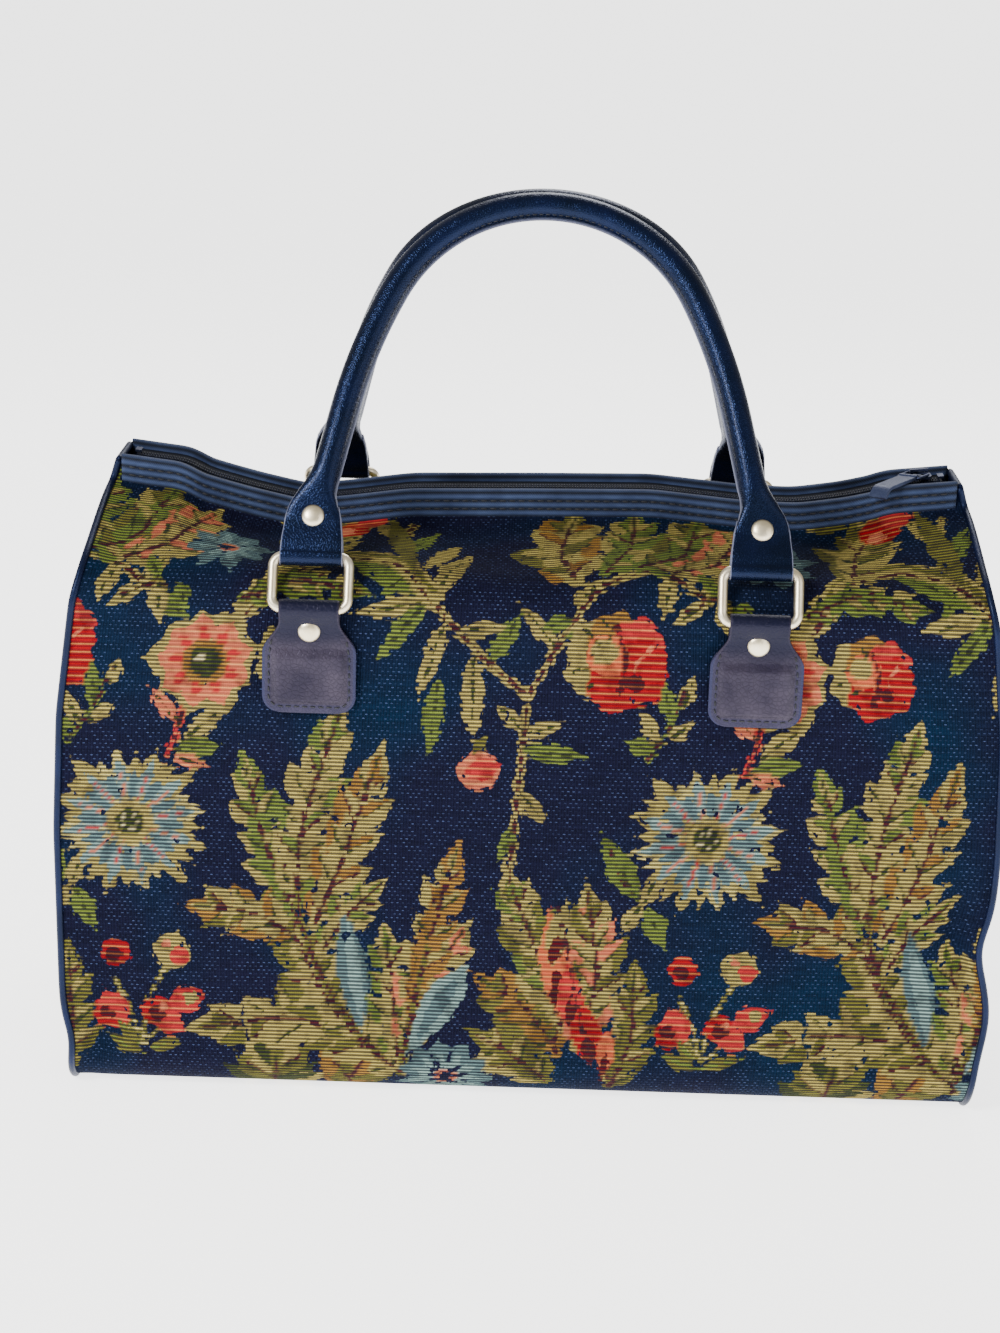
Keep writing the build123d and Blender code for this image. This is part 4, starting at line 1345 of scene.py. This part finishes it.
def makeTab(word, hand):
    foot, up, out, side = tabFrame(word, hand)
    radius, faceOut, backTop = tab["foldRadius"], tab["faceOut"], tab["backTop"]
    # the face layer, up from the foot, over the ring's bar and down behind it
    corner = tab["corner"]
    rise = np.concatenate([np.linspace(0.05, corner, 12), np.linspace(corner + 1.5, backTop, 17)])
    path = [(faceOut, r) for r in rise]
    path += [(3.5, 40.5), (4.3, 43.5), (5.6, 46.2), (7.0, 48.4)]
    path += [(tab["barOut"] + radius * math.cos(a), tab["rise"] + radius * math.sin(a))
             for a in np.linspace(-0.25, math.pi + 0.25, 15)]
    path += [(0.9, 47.5), (1.0, 44), (1.0, backTop)]
    path = np.array(path)
    line = foot + path[:, :1] * out + path[:, 1:] * up
    top = int(np.argmax(path[:, 1]))
    height = path[:, 1].copy()
    halves = tabHalf(height)
    halves[top:] = tab["neck"]
    halves[0] -= 0.3
    thick = np.where(np.arange(len(path)) < len(rise), tab["faceHalf"], tab["foldHalf"])

    def raised(wide, deep, a, b):
        # the padded middle, which ends at the fold
        inner = np.clip(halves[:, None] - tab["border"] - abs(wide), 0, None)
        ends = np.minimum(height - tab["border"], tab["padTop"] - height)[:, None]
        swell = smoothStep(np.minimum(inner, ends), 0.0, tab["padEdge"])
        swell[top - 4:] = 0
        sag = tab["sag"] * np.sin(height[:, None] / 5.0 + wide / 9.0)
        return wide, deep + (b > 0.25) * (tab["pad"] + sag) * swell

    def pale(a, b):
        # a pale cut rim and border, and painted shade under the fold
        rim = (abs(a) > 0.93) & (abs(b) < 0.97)
        border = (abs(a) * halves[:, None] > halves[:, None] - tab["border"] + 0.6) & (b > 0.2)
        low = np.broadcast_to((height < tab["border"] - 0.6)[:, None], a.shape) & (b > 0.2)
        mask = 0.45 * (border | low) + 0.55 * rim
        # painted shade: the leather darkens towards the fold over the ring's bar
        dark = smoothStep(height, tab["foldShadeStart"], tab["foldShadeEnd"])[:, None]
        return mask * (1 - dark) - 0.9 * dark + 0.5 * rim * dark

    across = np.array([1.0, 0, 0]) * -side
    face = sweepStrip("face", line, across, halves, thick, np.full(len(path), tab["square"]),
                      finishes["tabLeather"], 64, raised, pale)
    back = np.array([(tab["backOut"], r) for r in rise if r < backTop])
    backLine = foot + back[:, :1] * out + back[:, 1:] * up
    backing = sweepStrip("backing", backLine, across, tabHalf(back[:, 1]) - 0.2,
                         np.full(len(back), tab["backHalf"]), np.full(len(back), tab["square"]),
                         finishes["tabLeather"], 32, pale=lambda a, b: 0.8 * (abs(b) < 0.97))
    piece = joined(f"tab_leather_{word}_{'left' if hand < 0 else 'right'}", [face, backing])
    # the sewing line inside the border
    inset, sewnTop = tab["stitchIn"], tab["sewnTop"]
    reach = tab["half"] - inset
    line = roundedLine([(-reach + 1.2, sewnTop), (-reach, 28), (-reach, inset), (reach, inset), (reach, 28),
                        (reach - 1.2, sewnTop)], [12, 5.5, 5.5, 12], 1.0)
    sewing = foot + line[:, :1] * np.array([1.0, 0, 0]) + line[:, 1:] * up + out * (tab["front"] + 0.1)
    return piece, sewing, np.tile(out, (len(sewing), 1)), foot + up * tab["rivetUp"] + out * tab["front"], out


tabLines, tabFacings, capPoints, capFacings = [], [], [], []
for word in ("front", "back"):
    for hand, name in ((-1, "left"), (1, "right")):
        piece, sewing, facing, capAt, capOut = makeTab(word, hand)
        finishPiece(piece, "bag", "leather", f"tab_{word}_{name}")
        tabLines.append(sewing)
        tabFacings.append(facing)
        capPoints.append(capAt)
        capFacings.append(capOut)
sewn = repeated("tab_stitches", tabLines, tabFacings, stitch, tab["stitchPitch"],
                (tab["stitchLength"], 0.8, 0.6), finishes["thread"])
finishPiece(sewn, "bag", "leather")
rivets("tab_rivet_caps", capPoints, capFacings, rivetCap, "bag", "tab_rivets")
print("tabs made")

handle = {
    "rise": 178, "crownRadius": 82, "crownTurn": 63, "sideRadius": 260, "sideTurn": 14, "rollTop": 42,
    "crownOut": 6.85, "step": 2.0, "radius": 6.5, "rivetUp": 19.5, "rivetOut": 2.3, "foldRadius": 3.75,
    # half width and half thickness at each height above the ring's bar, and how square the section is
    "heights": (0, 12, 19, 24, 28, 33, 37, 43, 60),
    "wide": (14.4, 14.2, 13.5, 12.0, 10.2, 8.2, 7.1, 6.6, 6.5),
    "deep": (2.2, 2.2, 2.3, 2.9, 3.7, 4.8, 5.7, 6.3, 6.5),
    "squareHeights": (0, 16, 24, 34, 44), "square": (8, 7, 4.2, 2.6, 2.05),
    # the strap that folds round the bar: its side in (out, up), from the middle down
    "strapSide": ((0.9, 24), (1.3, 18), (1.9, 13), (2.9, 8), (3.55, 3.8)),
    "strapHeights": (0, 8, 18, 24), "strapWide": (15.0, 14.6, 13.4, 12.2), "strapHalf": 0.85,
    "finHeight": 1.1, "finStart": 22, "stitchPitch": 3.2, "stitchLength": 2.2, "stitchFrom": 50,
    "stitchWay": (0.86, 0.52),
}


def archLine():
    # the handle's middle line in its own plane, from the left foot over the crown to the right foot
    crown, leg = math.radians(handle["crownTurn"]), math.radians(handle["crownTurn"] + handle["sideTurn"])
    crownRadius, sideRadius = handle["crownRadius"], handle["sideRadius"]
    crownMid = handle["rise"] - crownRadius
    extra = sideRadius - crownRadius
    sideX, sideY = -extra * math.sin(crown), crownMid - extra * math.cos(crown)
    half = [(crownRadius * math.sin(a), crownMid + crownRadius * math.cos(a))
            for a in np.linspace(0, crown, 50)]
    half += [(sideX + sideRadius * math.sin(a), sideY + sideRadius * math.cos(a))
             for a in np.linspace(crown, leg, 30)[1:]]
    endX, endY = half[-1]
    lean = math.tan(math.pi / 2 - leg)
    half += [(endX + (endY - h) * lean, h) for h in np.linspace(endY, handle["rollTop"], 20)[1:]]
    half += [(fittingX - 1.6, 31), (fittingX - 0.3, 24), (fittingX, 18), (fittingX, 12), (fittingX, 7)]
    half = np.array(half)
    left = half[::-1] * (-1, 1)
    return evenly(np.concatenate([left, half[1:]]), handle["step"])


def makeHandle(word):
    side = -1 if word == "front" else 1
    bar = np.array(handleSwing[word])
    lean = math.asin((abs(bar[1]) - handle["crownOut"]) / handle["rise"])
    up = np.array([0, -side * math.sin(lean), math.cos(lean)])
    out = np.array([0, side * math.cos(lean), math.sin(lean)])
    right = np.array([1.0, 0, 0])
    base = np.array([0, bar[1], bar[2]])
    flat = archLine()
    line = base + flat[:, :1] * right + flat[:, 1:] * up
    height = flat[:, 1]
    wide, deep = (np.interp(height, handle["heights"], handle[name]) for name in ("wide", "deep"))
    power = np.interp(height, handle["squareHeights"], handle["square"])
    tangent = np.gradient(line, axis=0)
    tangent /= np.linalg.norm(tangent, axis=1)[:, None]
    inward = np.cross(tangent, out)
    if inward[len(line) // 2] @ up > 0:
        inward = -inward
    fin = smoothStep(height, handle["finStart"], 44)[:, None]

    def raised(w, d, a, b):
        # the sewn fin on the inside of the roll
        toward = np.exp(-((b / 0.16) ** 2)) * (a > 0.5)
        return w + fin * handle["finHeight"] * toward, d * (1 - 0.25 * fin * toward)

    def pale(a, b):
        roll = np.clip(np.exp(-((b / 0.12) ** 2)) * (a > 0.5), 0, 1) * 0.75
        strapEdge = (abs(a) > 0.97) * (abs(b) < 0.9) * 0.5
        return roll * fin + strapEdge * (1 - fin)

    parts = [sweepStrip("roll", line, inward, wide, deep, power, finishes["leather"], 44, raised, pale)]
    radius = handle["foldRadius"]
    # down one side of the ring's bar, round it and up the other side
    loop = list(handle["strapSide"])
    loop += [(radius * math.cos(a), radius * math.sin(a)) for a in np.linspace(0.6, -math.pi - 0.6, 19)]
    loop += [(-outward, high) for outward, high in reversed(handle["strapSide"])]
    loop = np.array(loop)
    strapWide = np.interp(loop[:, 1], handle["strapHeights"], handle["strapWide"])
    for hand in (-1, 1):
        course = base + right * hand * fittingX + loop[:, :1] * out + loop[:, 1:] * up
        strap = sweepStrip("strap", course, right * side, strapWide, np.full(len(loop), handle["strapHalf"]),
                           np.full(len(loop), 8.0), finishes["leather"], 32,
                           pale=lambda a, b: (abs(a) > 0.97) * (abs(b) < 0.95) * 0.5)
        parts.append(strap)
    piece = joined(f"handle_leather_{word}", parts)
    finishPiece(piece, f"handle_{word}", "leather", f"handle_{word}")
    # seam stitches beside the fin, on the face of the roll
    keep = height > handle["stitchFrom"]
    inShare, outShare = handle["stitchWay"]
    seam = line[keep] + inward[keep] * (handle["radius"] * inShare) + out * (handle["radius"] * outShare)
    face = inward[keep] * inShare + out * outShare
    sewn = repeated(f"handle_stitches_{word}", [seam], [face], stitch, handle["stitchPitch"],
                    (handle["stitchLength"], 0.6, 0.45), finishes["thread"])
    finishPiece(sewn, f"handle_{word}", "leather")
    spots = [base + right * hand * fittingX + up * handle["rivetUp"] for hand in (-1, 1)]
    rivets(f"handle_rivet_caps_{word}", [spot + out * handle["rivetOut"] for spot in spots], [out, out],
           rivetCap, f"handle_{word}", f"handle_rivets_{word}")
    rivets(f"handle_rivet_backs_{word}", [spot - out * handle["rivetOut"] for spot in spots], [-out, -out],
           rivetBack, f"handle_{word}")


for word in ("front", "back"):
    makeHandle(word)
print("handles made")


kept = {"base_board": "board", "zip_stops": "zipMetal", "zip_slider": "zipMetal", "zip_pull_link": "zipMetal",
        "zip_pull": "pullLeather", "handle_core_front": "cordCore", "handle_core_back": "cordCore"}
kept.update({f"ring_{word}_{name}": "paleGold" for word in ("front", "back") for name in ("left", "right")})
for node, finish in kept.items():
    piece = nodes[node]
    piece.data.materials.clear()
    piece.data.materials.append(finishes[finish])


studio = {
    "floor": ink("f6f6f4"), "reach": 25000, "glow": 2.7, "world": 0.45, "aim": (0, 0, 0.2),
    # each light's place, size and power
    "lights": {"key": ((-1.1, -1.2, 1.3), 0.55, 40), "fill": ((1.3, -1.3, 0.8), 1.1, 8),
               "rim": ((0.2, 1.3, 1.4), 0.9, 16)},
}


def makeStage():
    far = studio["reach"]
    paper = Finish("floorPaper", Base_Color=studio["floor"], Roughness=0.9, Emission_Color=(1.0, 1.0, 1.0),
                   Emission_Strength=studio["glow"])
    corners = [(-far, -far, 0), (far, -far, 0), (far, far, 0), (-far, far, 0)]
    floor = makeMesh("floor", corners, [[0, 1, 2, 3]], paper.material, smooth=False)
    world = bpy.data.worlds.new("studio")
    bpy.context.scene.world = world
    world.use_nodes = True
    world.node_tree.nodes["Background"].inputs[0].default_value = (1, 1, 1, 1)
    world.node_tree.nodes["Background"].inputs[1].default_value = studio["world"]
    for name, (place, size, power) in studio["lights"].items():
        light = bpy.data.objects.new(name, bpy.data.lights.new(name, "AREA"))
        light.data.energy = power
        light.data.size = size
        light.location = place
        light.rotation_euler = (Vector(studio["aim"]) - Vector(place)).to_track_quat("-Z", "Y").to_euler()
        bpy.context.scene.collection.objects.link(light)


camera = {
    "target": (0, 0, 0.201), "distance": 1.310, "elevation": 18.0, "roll": 1.9, "lens": 90.9,
    "sensor": 36, "shift": -0.033,
}


def makeCamera():
    data = bpy.data.cameras.new("view")
    data.lens = camera["lens"]
    data.sensor_width = camera["sensor"]
    data.sensor_fit = "HORIZONTAL"
    data.shift_x = camera["shift"]
    thing = bpy.data.objects.new("view", data)
    rise = math.radians(camera["elevation"])
    back = Vector((0, -math.cos(rise), math.sin(rise)))
    thing.location = Vector(camera["target"]) + back * camera["distance"]
    turn = (-back).to_track_quat("-Z", "Y")
    thing.rotation_mode = "QUATERNION"
    thing.rotation_quaternion = turn @ Quaternion((0, 0, 1), math.radians(camera["roll"]))
    bpy.context.scene.collection.objects.link(thing)
    bpy.context.scene.camera = thing


makeStage()
makeCamera()
print("stage made")
